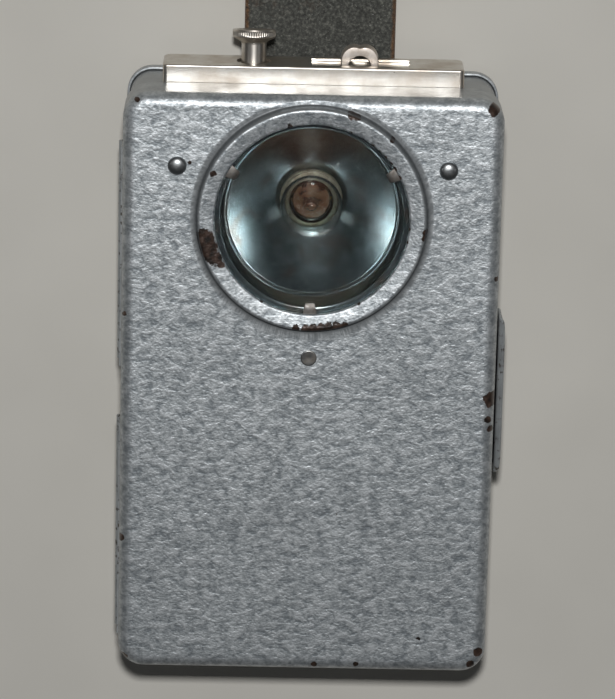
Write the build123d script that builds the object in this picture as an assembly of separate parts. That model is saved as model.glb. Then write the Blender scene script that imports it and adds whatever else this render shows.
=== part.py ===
"""Flat pocket torch with a hinged front cover, a switch cap on its upper end and a leather tab.

It lies on its back. X runs across the front, Y runs up to the switch end and Z comes out of the
front. The origin is on the underside of the leather, below the middle of the case. Millimetres.
"""

import os
from math import cos, radians, sin, sqrt

from build123d import *

# ---- Case -------------------------------------------------------------------------------------
CASE_WIDTH = 70.0
CASE_LENGTH = 111.8
CASE_DEPTH = 26.5
CORNER_RADIUS = 4.8
SHEET = 0.5
COVER_DEPTH = 10.2
COVER_EDGE_RADIUS = 2.2
BACK_RIM_HEIGHT = 3.2
BACK_EDGE_RADIUS = 1.2
LID_GAP = 0.15
BAND_OVERLAP = 3.0
BAND_FLANGE = 3.0
BEND_RADIUS = 0.3
LINER_THICKNESS = SHEET
SAME_POINT = 1e-6

# ---- Window and reflector ---------------------------------------------------------------------
LENS_FROM_TOP = 22.9
COLLAR_RADIUS = 21.3
COLLAR_OPENING_RADIUS = 17.9
COLLAR_HEIGHT = 2.1
COLLAR_LEAN = 0.3
COLLAR_DISH = 0.3
COLLAR_CREST_RADIUS = 0.8
COLLAR_LIP_WIDTH = 0.4
COLLAR_LIP_RADIUS = 0.3
COLLAR_LIP_GAP = 0.1
GLASS_RADIUS = 18.6
GLASS_THICKNESS = 1.2
GLASS_PROUD = 0.6
CLAW_THICKNESS = 0.35
CLAW_INNER_RADIUS = 15.7
CLAW_WIDTH = 2.6
CLAW_ANGLES = (30.0, 150.0, 270.0)
CARRIER_OVERLAP = 2.2
CARRIER_CUP_PLAY = 0.5
CARRIER_SHELF_PLAY = 0.3
SHELF_OVERLAP = 0.9
EAR_WIDTH = 6.0
EAR_LENGTH = 8.0
EAR_END_RADIUS = 3.0
EAR_REACH = 1.5
REFLECTOR_SHEET = 0.4
REFLECTOR_RIM_RADIUS = 17.0
REFLECTOR_BOWL_RADIUS = 16.0
REFLECTOR_BOWL_DEPTH = 6.0
REFLECTOR_VERTEX_DEPTH = 16.5
REFLECTOR_NECK = 1.5
REFLECTOR_NECK_PLAY = 0.05
RIVET_CIRCLE = 26.7
DOME_ANGLES = (21.0, 159.0)
FLAT_RIVET_ANGLE = 270.0
DOME_RADIUS = 1.75
DOME_HEIGHT = 1.0
FLAT_RIVET_RADIUS = 1.5
FLAT_RIVET_HEIGHT = 0.35
RIVET_SHANK_RADIUS = 0.9
RIVET_TAIL_RADIUS = 1.5
RIVET_TAIL_HEIGHT = 0.4

# ---- Bulb -------------------------------------------------------------------------------------
GLOBE_RADIUS = 5.7
GLOBE_WALL = 0.4
GLOBE_DEPTH = 9.3
BULB_NECK_RADIUS = 4.2
BULB_BASE_RADIUS = 4.75
BULB_BASE_TOP_DEPTH = 14.5
BULB_BASE_LENGTH = 8.1
BULB_BASE_WALL = 0.3
BULB_EDGE_HEIGHT = 0.6
BULB_EDGE_RADIUS = 0.25
BULB_TIP_DEPTH = 25.0
BULB_TIP_RADIUS = 1.5
BULB_TIP_HEIGHT = 0.9
INSULATOR_END_RADIUS = 1.6
INSULATOR_INSET = 0.5
FILAMENT_RISE = 0.8
FILAMENT_HALF_LENGTH = 1.5
LEAD_RADIUS = 0.22
LEAD_HALF_SPACING = 0.8
BEAD_DROP = 1.6
BEAD_RADIUS = 1.3
SOCKET_WALL = 0.6
SOCKET_PLAY = 0.25
SOCKET_BELOW_BASE = 1.0

# ---- Hinge ------------------------------------------------------------------------------------
PIN_RADIUS = 0.4
PIN_PLAY = 0.03
KNUCKLE_RADIUS = 0.8
LEAF_THICKNESS = 0.4
LEAF_HEIGHT = 5.5
HINGE_MIDDLE = -3.0
HINGE_SPACING = 11.3
KNUCKLE_LENGTHS = (3.5, 11.6, 21.5, 5.5)
KNUCKLE_PLAY = 0.15
HINGE_STAND_OFF = 0.05

# ---- Switch cap and what it holds ---------------------------------------------------------------
CAP_WIDTH = 55.8
CAP_MIDDLE = -0.15
CAP_HEIGHT = 3.95
CAP_DEPTH = 9.8
CAP_SHEET = 0.4
CAP_BELOW_SEAM = 0.2
CAP_REAR_CORNER = 1.6
CAP_FRONT_CORNER = 0.8
CAP_EDGE_RADIUS = 0.35
CAP_TAB_WIDTH = 6.0
CAP_TAB_REACH = 0.8
CAP_TAB_SPREAD = 0.4
BUTTON_X = -11.3
BUTTON_HEAD_RADIUS = 4.0
BUTTON_RIM = 1.4
BUTTON_CONE = 1.2
BUTTON_STEM_RADIUS = 2.3
BUTTON_RISE = 5.8
BUTTON_HOLE_RADIUS = 3.15
BUTTON_FLANGE_RADIUS = 3.6
BUTTON_FLANGE = 0.7
BUTTON_TRAVEL = 1.6
PLUNGER_RADIUS = 1.5
PLUNGER_PLAY = 0.05
PLUNGER_REACH = 1.4
SPRING_RADIUS = 2.35
SPRING_WIRE = 0.2
SPRING_TURNS = 2.5
SLOT_MIDDLE = 8.6
SLOT_LENGTH = 18.2
SLOT_WIDTH = 6.0
SLIDE_MIDDLE = 8.4
SLIDE_TRAVEL = 5.0
SLIDE_PLATE = 0.5
SLIDE_PLATE_LEFT = 9.8
SLIDE_PLATE_RIGHT = 11.0
SLIDE_PLATE_WIDTH = 7.6
TAB_WIDTH = 6.9
TAB_RISE = 3.4
TAB_OPENING = 4.1
TAB_DEPTH = 3.4
TAB_CORNER = 0.38 * TAB_WIDTH
LUG_WIDTH = 3.0
LUG_DEPTH = 2.8
LUG_PLAY = 0.3
LUG_REACH = 1.7
BOARD_THICKNESS = 0.7
BOARD_WIDTH = 52.0
BOARD_DEPTH = 7.6
LEAF_PIVOT_X = -2.0
LEAF_POST_LENGTH = 3.1
LEAF_POST_GAP = 0.1
CONTACT_LEAF_LENGTH = 17.6
CONTACT_LEAF_WIDTH = 5.0
CONTACT_SHEET = 0.4
CONTACT_GAP = 0.1
STRIP_RIVET_BEYOND = 6.0
STRIP_FOOT_INNER = 3.2
STRIP_FOOT_OUTER = 2.5
STRIP_ARM_GAP = 0.3
SLIDING_GAP = 0.1

# ---- Battery ----------------------------------------------------------------------------------
BATTERY_WIDTH = 62.0
BATTERY_LENGTH = 65.0
BATTERY_DEPTH = 22.0
BATTERY_CORNER = 5.0
BATTERY_WALL = 0.7
BATTERY_PLAY = 0.35
CELL_PLAY = 0.1
SEAL_THICKNESS = 3.0
STRIP_WIDTH = 6.0
STRIP_THICKNESS = 0.3
STRIP_X = 18.0
LONG_STRIP_LENGTH = 37.5
SHORT_STRIP_RISE = 2.6
BULB_CONTACT_GAP = 0.5

# ---- Latch ------------------------------------------------------------------------------------
LATCH_LENGTH = 30.7
LATCH_MIDDLE = -1.75
LATCH_SHEET = 0.6
LATCH_FOOT_TOP = 12.0
LATCH_FOOT_GAP = 0.1
LATCH_STEP_BELOW_SEAM = 2.2
LATCH_STEP_OUTER = 1.8
LATCH_STEP_INNER = 0.2
LATCH_RISE = 6.0
LATCH_STAND_OFF = 0.5
LATCH_BEAD_RADIUS = 0.35
LATCH_LIP = 0.8
LATCH_RIVET_SPACING = 18.0

# ---- Leather tab --------------------------------------------------------------------------------
STRAP_THICKNESS = 2.2
STRAP_WIDTH = 28.5
STRAP_MIDDLE = 1.1
STRAP_LOWER_END = -34.0
STRAP_BEYOND_CASE = 42.0
STRAP_FOLD_BEYOND_CASE = 4.2
STRAP_FOLD_GAP = 0.2
STRAP_END_RADIUS = 10.0
BUTTONHOLE_RADIUS = 4.0
BUTTONHOLE_FROM_END = 10.0
BUTTONHOLE_SLIT = 10.0
BUTTONHOLE_SLIT_WIDTH = 1.0
STRAP_RIVET_PLACES = (44.0, -28.0)
STRAP_RIVET_HEAD = 3.2
STRAP_RIVET_HEAD_HEIGHT = 0.8
STRAP_RIVET_TAIL_HEIGHT = 0.45

# ---- Places worked out from the sizes -----------------------------------------------------------
BACK_Z = STRAP_THICKNESS
INNER_BACK_Z = BACK_Z + SHEET
FRONT_Z = BACK_Z + CASE_DEPTH
SEAM_Z = FRONT_Z - COVER_DEPTH
COVER_INNER_Z = FRONT_Z - SHEET
TOP_Y = CASE_LENGTH / 2
LENS_Y = TOP_Y - LENS_FROM_TOP

BAND_WIDTH = CASE_WIDTH - 2 * (SHEET + LID_GAP)
BAND_LENGTH = CASE_LENGTH - 2 * (SHEET + LID_GAP)
BAND_CORNER = CORNER_RADIUS - SHEET - LID_GAP
BAND_TOP_Z = SEAM_Z + BAND_OVERLAP
BAND_INNER_X = BAND_WIDTH / 2 - SHEET
BAND_OUTER_Y = BAND_LENGTH / 2
BAND_INNER_Y = BAND_OUTER_Y - SHEET

GLASS_BACK_Z = FRONT_Z + GLASS_PROUD - GLASS_THICKNESS
GLASS_FRONT_Z = FRONT_Z + GLASS_PROUD
BOWL_TOP_Z = FRONT_Z - REFLECTOR_BOWL_DEPTH
VERTEX_Z = FRONT_Z - REFLECTOR_VERTEX_DEPTH
BASE_TOP_Z = FRONT_Z - BULB_BASE_TOP_DEPTH
BASE_BOTTOM_Z = BASE_TOP_Z - BULB_BASE_LENGTH
BULB_TIP_Z = FRONT_Z - BULB_TIP_DEPTH
SOCKET_INNER_RADIUS = BULB_BASE_RADIUS + SOCKET_PLAY
SOCKET_RADIUS = SOCKET_INNER_RADIUS + SOCKET_WALL

HINGE_X = -BAND_WIDTH / 2 - HINGE_STAND_OFF - KNUCKLE_RADIUS
HINGE_HALF_LENGTH = sum(KNUCKLE_LENGTHS) / 2
HINGE_CENTRES = tuple(
    HINGE_MIDDLE + side * (HINGE_SPACING / 2 + HINGE_HALF_LENGTH) for side in (1, -1)
)

CAP_FRONT_Z = SEAM_Z - CAP_BELOW_SEAM
CAP_BACK_Z = CAP_FRONT_Z - CAP_DEPTH
CAP_Z = (CAP_FRONT_Z + CAP_BACK_Z) / 2
CAP_TOP_Y = BAND_OUTER_Y + CAP_HEIGHT
CAP_INNER_Y = CAP_TOP_Y - CAP_SHEET
FLANGE_TOP_Y = CAP_INNER_Y - SLIDING_GAP
FLANGE_BOTTOM_Y = FLANGE_TOP_Y - BUTTON_FLANGE
BOARD_BOTTOM_Y = BAND_INNER_Y - BOARD_THICKNESS
PLATE_TOP_Y = CAP_INNER_Y - SLIDING_GAP
PLATE_BOTTOM_Y = PLATE_TOP_Y - SLIDE_PLATE
PLUNGER_TIP_Y = BOARD_BOTTOM_Y - PLUNGER_REACH
LEAF_TOP_Y = PLUNGER_TIP_Y - CONTACT_GAP
LUG_TIP_Y = BOARD_BOTTOM_Y - LUG_REACH

LINER_TOP_Z = INNER_BACK_Z + LINER_THICKNESS
BATTERY_BACK_Z = INNER_BACK_Z + max(LINER_THICKNESS, SHEET)
BATTERY_LOW_Y = -BAND_INNER_Y + BATTERY_PLAY
BATTERY_TOP_Y = BATTERY_LOW_Y + BATTERY_LENGTH
BATTERY_Z = BATTERY_BACK_Z + BATTERY_DEPTH / 2
CELL_SPACE = min((BATTERY_WIDTH - 2 * BATTERY_WALL) / 3, BATTERY_DEPTH - 2 * BATTERY_WALL)
CELL_RADIUS = CELL_SPACE / 2 - CELL_PLAY

LATCH_FOOT_X = BAND_WIDTH / 2
LATCH_ARM_X = CASE_WIDTH / 2 + LATCH_STAND_OFF
LATCH_TOP_Z = SEAM_Z + LATCH_RISE

STRAP_FOLD_Y = TOP_Y + STRAP_FOLD_BEYOND_CASE
STRAP_TOP_END = TOP_Y + STRAP_BEYOND_CASE
FOLD_RADIUS = STRAP_THICKNESS / 2


# ---- Helpers ------------------------------------------------------------------------------------
def block(low, high):
    """A box from its lowest to its highest corner."""
    size = [high[i] - low[i] for i in range(3)]
    middle = [(high[i] + low[i]) / 2 for i in range(3)]
    return Pos(*middle) * Box(*size)


def rod(radius, start, end):
    """A round bar from one point to another."""
    start, end = Vector(*start), Vector(*end)
    return extrude(Plane(origin=start, z_dir=end - start) * Circle(radius), (end - start).length)


def tube(outer, inner, start, end):
    """A round pipe from one point to another."""
    return rod(outer, start, end) - rod(inner, start, end)


def rounded_prism(width, length, corner, low_z, high_z):
    """A bar with rounded corners seen from the front, centred on the case."""
    outline = Pos(0, 0, low_z) * RectangleRounded(width, length, corner)
    return extrude(outline, high_z - low_z)


def ring_section(points, rounded=None):
    """A body of revolution about the lens axis from (radius, height above the face) points."""
    outline = Polyline(*points, close=True)
    face = make_face(outline)
    for radius, corners in (rounded or {}).items():
        chosen = [
            vertex for vertex in face.vertices()
            if any((Vector(*c) - Vector(vertex.X, vertex.Y)).length < SAME_POINT for c in corners)
        ]
        face = fillet(chosen, radius)
    return about_lens(face)


def about_lens(face):
    """Turns a face drawn as radius and height round the lens axis."""
    section = Plane(origin=(0, LENS_Y, FRONT_Z), x_dir=(1, 0, 0), z_dir=(0, -1, 0)) * face
    return revolve(section, Axis((0, LENS_Y, 0), (0, 0, 1)), 360)


def on_rivet_circle(angle):
    """A place on the circle of the face rivets."""
    turn = radians(angle)
    return RIVET_CIRCLE * cos(turn), LENS_Y + RIVET_CIRCLE * sin(turn)


def save(name, *shapes):
    """Writes one node, whose solids are the shapes given."""
    solids = [solid for shape in shapes for solid in shape.solids()]
    export_step(solids[0] if len(solids) == 1 else Compound(children=solids), f"parts/{name}.step")


# ---- Case ---------------------------------------------------------------------------------------
def back_plate():
    """A shallow tray whose turned-up rim stands just clear of the band."""
    outer = rounded_prism(CASE_WIDTH, CASE_LENGTH, CORNER_RADIUS, BACK_Z, BACK_Z + BACK_RIM_HEIGHT)
    outer = fillet(outer.faces().sort_by(Axis.Z)[0].edges(), BACK_EDGE_RADIUS)
    inner = rounded_prism(
        CASE_WIDTH - 2 * SHEET, CASE_LENGTH - 2 * SHEET, CORNER_RADIUS - SHEET,
        INNER_BACK_Z, BACK_Z + BACK_RIM_HEIGHT,
    )
    inner = fillet(inner.faces().sort_by(Axis.Z)[0].edges(), BACK_EDGE_RADIUS - SHEET)
    plate = outer - inner
    for place in STRAP_RIVET_PLACES:
        plate -= rod(RIVET_SHANK_RADIUS, (STRAP_MIDDLE, place, 0), (STRAP_MIDDLE, place, FRONT_Z))
    return plate


def body_band():
    """The four walls of the body, with a flange turned in on the back plate."""
    band = rounded_prism(BAND_WIDTH, BAND_LENGTH, BAND_CORNER, INNER_BACK_Z, BAND_TOP_Z)
    band = fillet(band.faces().sort_by(Axis.Z)[0].edges(), BEND_RADIUS + SHEET)
    inside = rounded_prism(
        BAND_WIDTH - 2 * SHEET, BAND_LENGTH - 2 * SHEET, BAND_CORNER - SHEET,
        INNER_BACK_Z + SHEET, BAND_TOP_Z,
    )
    band -= fillet(inside.faces().sort_by(Axis.Z)[0].edges(), BEND_RADIUS)
    band -= rounded_prism(
        BAND_WIDTH - 2 * BAND_FLANGE, BAND_LENGTH - 2 * BAND_FLANGE, BAND_CORNER - SHEET,
        INNER_BACK_Z, BAND_TOP_Z,
    )
    band -= plunger_hole()
    band -= lug_slot()
    for tab in cap_tabs(SLIDING_GAP):
        band -= tab
    for y in latch_rivet_places():
        band -= rod(RIVET_SHANK_RADIUS, (0, y, latch_rivet_z()), (CASE_WIDTH, y, latch_rivet_z()))
    return band


def front_cover():
    """The drawn front cover: a tray with a raised collar round the window."""
    outer = rounded_prism(CASE_WIDTH, CASE_LENGTH, CORNER_RADIUS, SEAM_Z, FRONT_Z)
    outer = fillet(outer.faces().sort_by(Axis.Z)[-1].edges(), COVER_EDGE_RADIUS)
    inner = rounded_prism(
        CASE_WIDTH - 2 * SHEET, CASE_LENGTH - 2 * SHEET, CORNER_RADIUS - SHEET, SEAM_Z, COVER_INNER_Z
    )
    inner = fillet(inner.faces().sort_by(Axis.Z)[-1].edges(), COVER_EDGE_RADIUS - SHEET)
    cover = outer - inner
    window = COLLAR_RADIUS - SHEET / 2
    cover -= rod(window, (0, LENS_Y, 0), (0, LENS_Y, FRONT_Z))
    cover += collar()
    for angle in DOME_ANGLES + (FLAT_RIVET_ANGLE,):
        x, y = on_rivet_circle(angle)
        cover -= rod(RIVET_SHANK_RADIUS, (x, y, BAND_TOP_Z), (x, y, FRONT_Z))
    notch_top = SEAM_Z + KNUCKLE_RADIUS + KNUCKLE_PLAY
    for centre in HINGE_CENTRES:
        cover -= block(
            (-CASE_WIDTH, centre - HINGE_HALF_LENGTH - KNUCKLE_PLAY, BACK_Z),
            (-BAND_INNER_X, centre + HINGE_HALF_LENGTH + KNUCKLE_PLAY, notch_top),
        )
    return cover


def collar():
    """The raised collar, with its lip turned down to the glass."""
    crest = (COLLAR_RADIUS - COLLAR_LEAN, COLLAR_HEIGHT)
    slope = (COLLAR_OPENING_RADIUS + COLLAR_LIP_WIDTH, COLLAR_HEIGHT - COLLAR_DISH)
    lip = (COLLAR_OPENING_RADIUS, GLASS_PROUD + CLAW_THICKNESS + COLLAR_LIP_GAP)
    inner_lip = (lip[0] + SHEET, lip[1])
    inner_slope = (slope[0] + SHEET * 0.8, slope[1] - SHEET * 0.9)
    inner_crest = (crest[0] - SHEET, crest[1] - SHEET)
    points = [
        (COLLAR_RADIUS, -SHEET), crest, slope, lip, inner_lip, inner_slope, inner_crest,
        (COLLAR_RADIUS - SHEET, -SHEET),
    ]
    return ring_section(points, {COLLAR_CREST_RADIUS: [crest], COLLAR_LIP_RADIUS: [slope]})


def liner_card():
    """The card under the battery, inside the band's flange."""
    card = rounded_prism(
        BAND_WIDTH - 2 * BAND_FLANGE - 2 * SLIDING_GAP,
        BAND_LENGTH - 2 * BAND_FLANGE - 2 * SLIDING_GAP,
        BAND_CORNER - SHEET, INNER_BACK_Z, LINER_TOP_Z,
    )
    for place in STRAP_RIVET_PLACES:
        hole = STRAP_RIVET_HEAD + SLIDING_GAP
        card -= rod(hole, (STRAP_MIDDLE, place, 0), (STRAP_MIDDLE, place, FRONT_Z))
    return card


# ---- Hinge --------------------------------------------------------------------------------------
def knuckle_spans(centre, owner):
    """The stretches of one hinge that belong to the cover (0) or to the body (1)."""
    towards = 1 if centre > HINGE_MIDDLE else -1
    place = centre - towards * HINGE_HALF_LENGTH
    spans = []
    for index, length in enumerate(KNUCKLE_LENGTHS):
        ends = sorted((place, place + towards * length))
        if index % 2 == owner:
            spans.append((ends[0] + KNUCKLE_PLAY / 2, ends[1] - KNUCKLE_PLAY / 2))
        place += towards * length
    return spans


def knuckle(span, bore):
    """One rolled knuckle about the hinge line."""
    start, end = (HINGE_X, span[0], SEAM_Z), (HINGE_X, span[1], SEAM_Z)
    return tube(KNUCKLE_RADIUS, bore, start, end)


def cover_hinge_leaf():
    """Leaves on the outside of the cover's left wall, rolled into knuckles at the seam."""
    leaves = []
    bore = PIN_RADIUS + PIN_PLAY
    for centre in HINGE_CENTRES:
        low_y, high_y = centre - HINGE_HALF_LENGTH, centre + HINGE_HALF_LENGTH
        left, right = -CASE_WIDTH / 2 - LEAF_THICKNESS, -CASE_WIDTH / 2
        leaf = block(
            (left, low_y, SEAM_Z + KNUCKLE_RADIUS + KNUCKLE_PLAY),
            (right, high_y, SEAM_Z + LEAF_HEIGHT),
        )
        for span in knuckle_spans(centre, 0):
            neck = block((left, span[0], SEAM_Z + bore), (right, span[1], SEAM_Z + LEAF_HEIGHT))
            neck -= rod(bore, (HINGE_X, low_y, SEAM_Z), (HINGE_X, high_y, SEAM_Z))
            leaf += knuckle(span, bore) + neck
        leaves.append(leaf)
    return leaves


def body_hinge_leaf():
    """Leaves on the outside of the band, rolled into knuckles at the seam."""
    leaves = []
    for centre in HINGE_CENTRES:
        low_y, high_y = centre - HINGE_HALF_LENGTH, centre + HINGE_HALF_LENGTH
        left, right = -BAND_WIDTH / 2 - LEAF_THICKNESS, -BAND_WIDTH / 2
        low_z = SEAM_Z - LEAF_HEIGHT
        leaf = block((left, low_y, low_z), (right, high_y, SEAM_Z - KNUCKLE_RADIUS - KNUCKLE_PLAY))
        for span in knuckle_spans(centre, 1):
            neck = block((left, span[0], low_z), (right, span[1], SEAM_Z - PIN_RADIUS))
            leaf += knuckle(span, PIN_RADIUS) + neck
        leaves.append(leaf)
    return leaves


def hinge_pins():
    """One pin for each hinge, as long as its knuckles."""
    return [
        rod(
            PIN_RADIUS,
            (HINGE_X, centre - HINGE_HALF_LENGTH, SEAM_Z),
            (HINGE_X, centre + HINGE_HALF_LENGTH, SEAM_Z),
        )
        for centre in HINGE_CENTRES
    ]


# ---- Window, reflector and bulb -----------------------------------------------------------------
def reflector_carrier():
    """A stepped ring behind the face that holds the glass and reflector, with three ears."""
    ring_radius = COLLAR_RADIUS + CARRIER_OVERLAP
    cup = GLASS_RADIUS + CARRIER_CUP_PLAY
    rim_back = GLASS_PROUD - GLASS_THICKNESS - REFLECTOR_SHEET
    shelf = rim_back - 2 * CLAW_THICKNESS - CARRIER_SHELF_PLAY
    shelf_radius = REFLECTOR_RIM_RADIUS + SHELF_OVERLAP
    ring = ring_section([
        (ring_radius, -SHEET), (ring_radius, -2 * SHEET), (cup + SHEET, -2 * SHEET),
        (cup + SHEET, shelf - SHEET), (shelf_radius, shelf - SHEET),
        (shelf_radius, shelf), (cup, shelf), (cup, -SHEET),
    ])
    ear_end = RIVET_CIRCLE + EAR_REACH
    for angle in DOME_ANGLES + (FLAT_RIVET_ANGLE,):
        ear = Pos(ear_end - EAR_LENGTH / 2, 0, 0) * Box(EAR_LENGTH, EAR_WIDTH, SHEET)
        ear += Pos(ear_end, 0, 0) * Cylinder(EAR_END_RADIUS, SHEET)
        ear = Pos(0, LENS_Y, COVER_INNER_Z - SHEET / 2) * Rot(0, 0, angle) * ear
        x, y = on_rivet_circle(angle)
        ring += ear
        ring -= rod(RIVET_SHANK_RADIUS, (x, y, BAND_TOP_Z), (x, y, FRONT_Z))
    flat_top = TOP_Y - COVER_EDGE_RADIUS
    return ring - block((-CASE_WIDTH, flat_top, BAND_TOP_Z), (CASE_WIDTH, CASE_LENGTH, FRONT_Z))


def dome_rivet(angle):
    """A rivet with a domed head on the face and a flattened tail behind the ear."""
    x, y = on_rivet_circle(angle)
    ball = (DOME_RADIUS**2 + DOME_HEIGHT**2) / (2 * DOME_HEIGHT)
    head = Pos(x, y, FRONT_Z + DOME_HEIGHT - ball) * Sphere(ball)
    head &= rod(2 * DOME_RADIUS, (x, y, FRONT_Z), (x, y, FRONT_Z + 2 * DOME_HEIGHT))
    return head + rivet_shank_and_tail(x, y)


def flat_rivet(angle):
    """A rivet with a low flat head on the face."""
    x, y = on_rivet_circle(angle)
    head = rod(FLAT_RIVET_RADIUS, (x, y, FRONT_Z), (x, y, FRONT_Z + FLAT_RIVET_HEIGHT))
    head = fillet(head.faces().sort_by(Axis.Z)[-1].edges(), FLAT_RIVET_HEIGHT * 0.6)
    return head + rivet_shank_and_tail(x, y)


def rivet_shank_and_tail(x, y):
    """A rivet's shank through the face and the ear, with its tail behind them."""
    tail_z = COVER_INNER_Z - SHEET
    shank = rod(RIVET_SHANK_RADIUS, (x, y, tail_z), (x, y, FRONT_Z))
    return shank + rod(RIVET_TAIL_RADIUS, (x, y, tail_z - RIVET_TAIL_HEIGHT), (x, y, tail_z))


def lens_glass():
    """The flat glass disc."""
    return rod(GLASS_RADIUS, (0, LENS_Y, GLASS_BACK_Z), (0, LENS_Y, GLASS_FRONT_Z))


def glass_retainer():
    """A thin ring round the glass and the reflector's rim, with three claws over the glass."""
    wall = GLASS_RADIUS + CLAW_THICKNESS
    front = GLASS_PROUD + CLAW_THICKNESS
    rim_back = GLASS_PROUD - GLASS_THICKNESS - REFLECTOR_SHEET
    shelf_radius = REFLECTOR_RIM_RADIUS + SHELF_OVERLAP
    ring = ring_section([
        (GLASS_RADIUS, rim_back), (GLASS_RADIUS, GLASS_PROUD), (wall, GLASS_PROUD),
        (wall, rim_back - CLAW_THICKNESS), (shelf_radius, rim_back - CLAW_THICKNESS),
        (shelf_radius, rim_back),
    ])
    full = ring_section([
        (CLAW_INNER_RADIUS, GLASS_PROUD), (wall, GLASS_PROUD), (wall, front), (CLAW_INNER_RADIUS, front)
    ])
    for angle in CLAW_ANGLES:
        wedge = Rot(0, 0, angle) * Pos(wall, 0, 0) * Box(2 * wall, CLAW_WIDTH, CASE_DEPTH)
        ring += full & (Pos(0, LENS_Y, FRONT_Z) * wedge)
    return ring


def reflector():
    """Rim flange, tapered wall and paraboloid bowl, with a neck for the socket."""
    rise = REFLECTOR_VERTEX_DEPTH - REFLECTOR_BOWL_DEPTH
    four_f = REFLECTOR_BOWL_RADIUS**2 / rise
    hole = SOCKET_RADIUS + REFLECTOR_NECK_PLAY
    rim_top = GLASS_PROUD - GLASS_THICKNESS
    neck_end = -REFLECTOR_VERTEX_DEPTH - REFLECTOR_NECK

    def bowl(radius, drop=0.0):
        return (radius, radius**2 / four_f - REFLECTOR_VERTEX_DEPTH - drop)

    middle = (REFLECTOR_BOWL_RADIUS + hole) / 2
    outer_wall = REFLECTOR_BOWL_RADIUS + REFLECTOR_SHEET
    inner = Spline(bowl(REFLECTOR_BOWL_RADIUS), bowl(middle), bowl(hole))
    outer = Spline(
        bowl(hole + REFLECTOR_SHEET, REFLECTOR_SHEET),
        bowl(middle + REFLECTOR_SHEET / 2, 1.3 * REFLECTOR_SHEET),
        (outer_wall, -REFLECTOR_BOWL_DEPTH - REFLECTOR_SHEET / 2),
    )
    rest = [
        Polyline(outer @ 1, (REFLECTOR_RIM_RADIUS + REFLECTOR_SHEET, rim_top - REFLECTOR_SHEET),
                 (GLASS_RADIUS, rim_top - REFLECTOR_SHEET), (GLASS_RADIUS, rim_top),
                 (REFLECTOR_RIM_RADIUS, rim_top), inner @ 0),
        Polyline(inner @ 1, (hole, neck_end), (hole + REFLECTOR_SHEET, neck_end), outer @ 0),
    ]
    return about_lens(make_face([inner, outer] + rest))


def bulb_globe():
    """The blown glass envelope: a hollow ball drawn into a neck, open at its lower end."""
    outer = ball_and_neck(GLOBE_RADIUS, BULB_NECK_RADIUS)
    return outer - ball_and_neck(GLOBE_RADIUS - GLOBE_WALL, BULB_NECK_RADIUS - GLOBE_WALL)


def ball_and_neck(ball, neck):
    """A solid ball, cut off where it is as narrow as its neck, with the neck below it."""
    centre_z = FRONT_Z - GLOBE_DEPTH
    cut_z = centre_z - sqrt(ball**2 - neck**2)
    shape = Pos(0, LENS_Y, centre_z) * Sphere(ball)
    shape &= rod(2 * ball, (0, LENS_Y, cut_z), (0, LENS_Y, FRONT_Z))
    return shape + rod(neck, (0, LENS_Y, BASE_TOP_Z), (0, LENS_Y, centre_z))


def bulb_mount():
    """The glass bead with its two lead wires and the filament between their tips."""
    filament_z = FRONT_Z - GLOBE_DEPTH + FILAMENT_RISE
    bead_z = FRONT_Z - GLOBE_DEPTH - BEAD_DROP
    left_tip = (-FILAMENT_HALF_LENGTH, LENS_Y, filament_z)
    right_tip = (FILAMENT_HALF_LENGTH, LENS_Y, filament_z)
    mount = Pos(0, LENS_Y, bead_z) * Sphere(BEAD_RADIUS)
    mount += rod(LEAD_RADIUS, left_tip, right_tip)
    for side, tip in ((-1, left_tip), (1, right_tip)):
        middle = (side * LEAD_HALF_SPACING, LENS_Y, bead_z)
        foot = (side * LEAD_HALF_SPACING, LENS_Y, BASE_TOP_Z)
        mount += rod(LEAD_RADIUS, middle, tip) + rod(LEAD_RADIUS, foot, middle)
        mount += Pos(*tip) * Sphere(LEAD_RADIUS) + Pos(*middle) * Sphere(LEAD_RADIUS)
    return mount


def bulb_base():
    """The brass screw shell, with a rolled edge round the neck and a floor."""
    edge = (0, LENS_Y, BASE_TOP_Z)
    shell_end = (0, LENS_Y, BASE_BOTTOM_Z)
    floor = (0, LENS_Y, BASE_BOTTOM_Z + BULB_BASE_WALL)
    edge_top = (0, LENS_Y, BASE_TOP_Z + BULB_EDGE_HEIGHT)
    shell = rod(BULB_BASE_RADIUS, shell_end, edge)
    shell -= rod(BULB_BASE_RADIUS - BULB_BASE_WALL, floor, edge)
    rolled = tube((SOCKET_INNER_RADIUS + SOCKET_RADIUS) / 2, BULB_NECK_RADIUS, edge, edge_top)
    return shell + fillet(rolled.faces().sort_by(Axis.Z)[-1].edges(), BULB_EDGE_RADIUS)


def bulb_insulator():
    """The black insulating cone between the shell and the tip."""
    depth = BASE_BOTTOM_Z - BULB_TIP_Z - BULB_TIP_HEIGHT
    cone = Cone(INSULATOR_END_RADIUS, BULB_BASE_RADIUS - INSULATOR_INSET, depth)
    return Pos(0, LENS_Y, BASE_BOTTOM_Z - depth / 2) * cone


def bulb_tip():
    """The solder tip contact."""
    top = BULB_TIP_Z + BULB_TIP_HEIGHT
    tip = Pos(0, LENS_Y, top) * Sphere(BULB_TIP_RADIUS)
    tip &= rod(BULB_TIP_RADIUS, (0, LENS_Y, BULB_TIP_Z), (0, LENS_Y, top))
    return tip


def bulb_socket():
    """The sleeve that the bulb screws into, held in the reflector's neck."""
    top = (0, LENS_Y, BASE_TOP_Z)
    bottom = (0, LENS_Y, BASE_BOTTOM_Z - SOCKET_BELOW_BASE)
    return tube(SOCKET_RADIUS, SOCKET_INNER_RADIUS, bottom, top)


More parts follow.
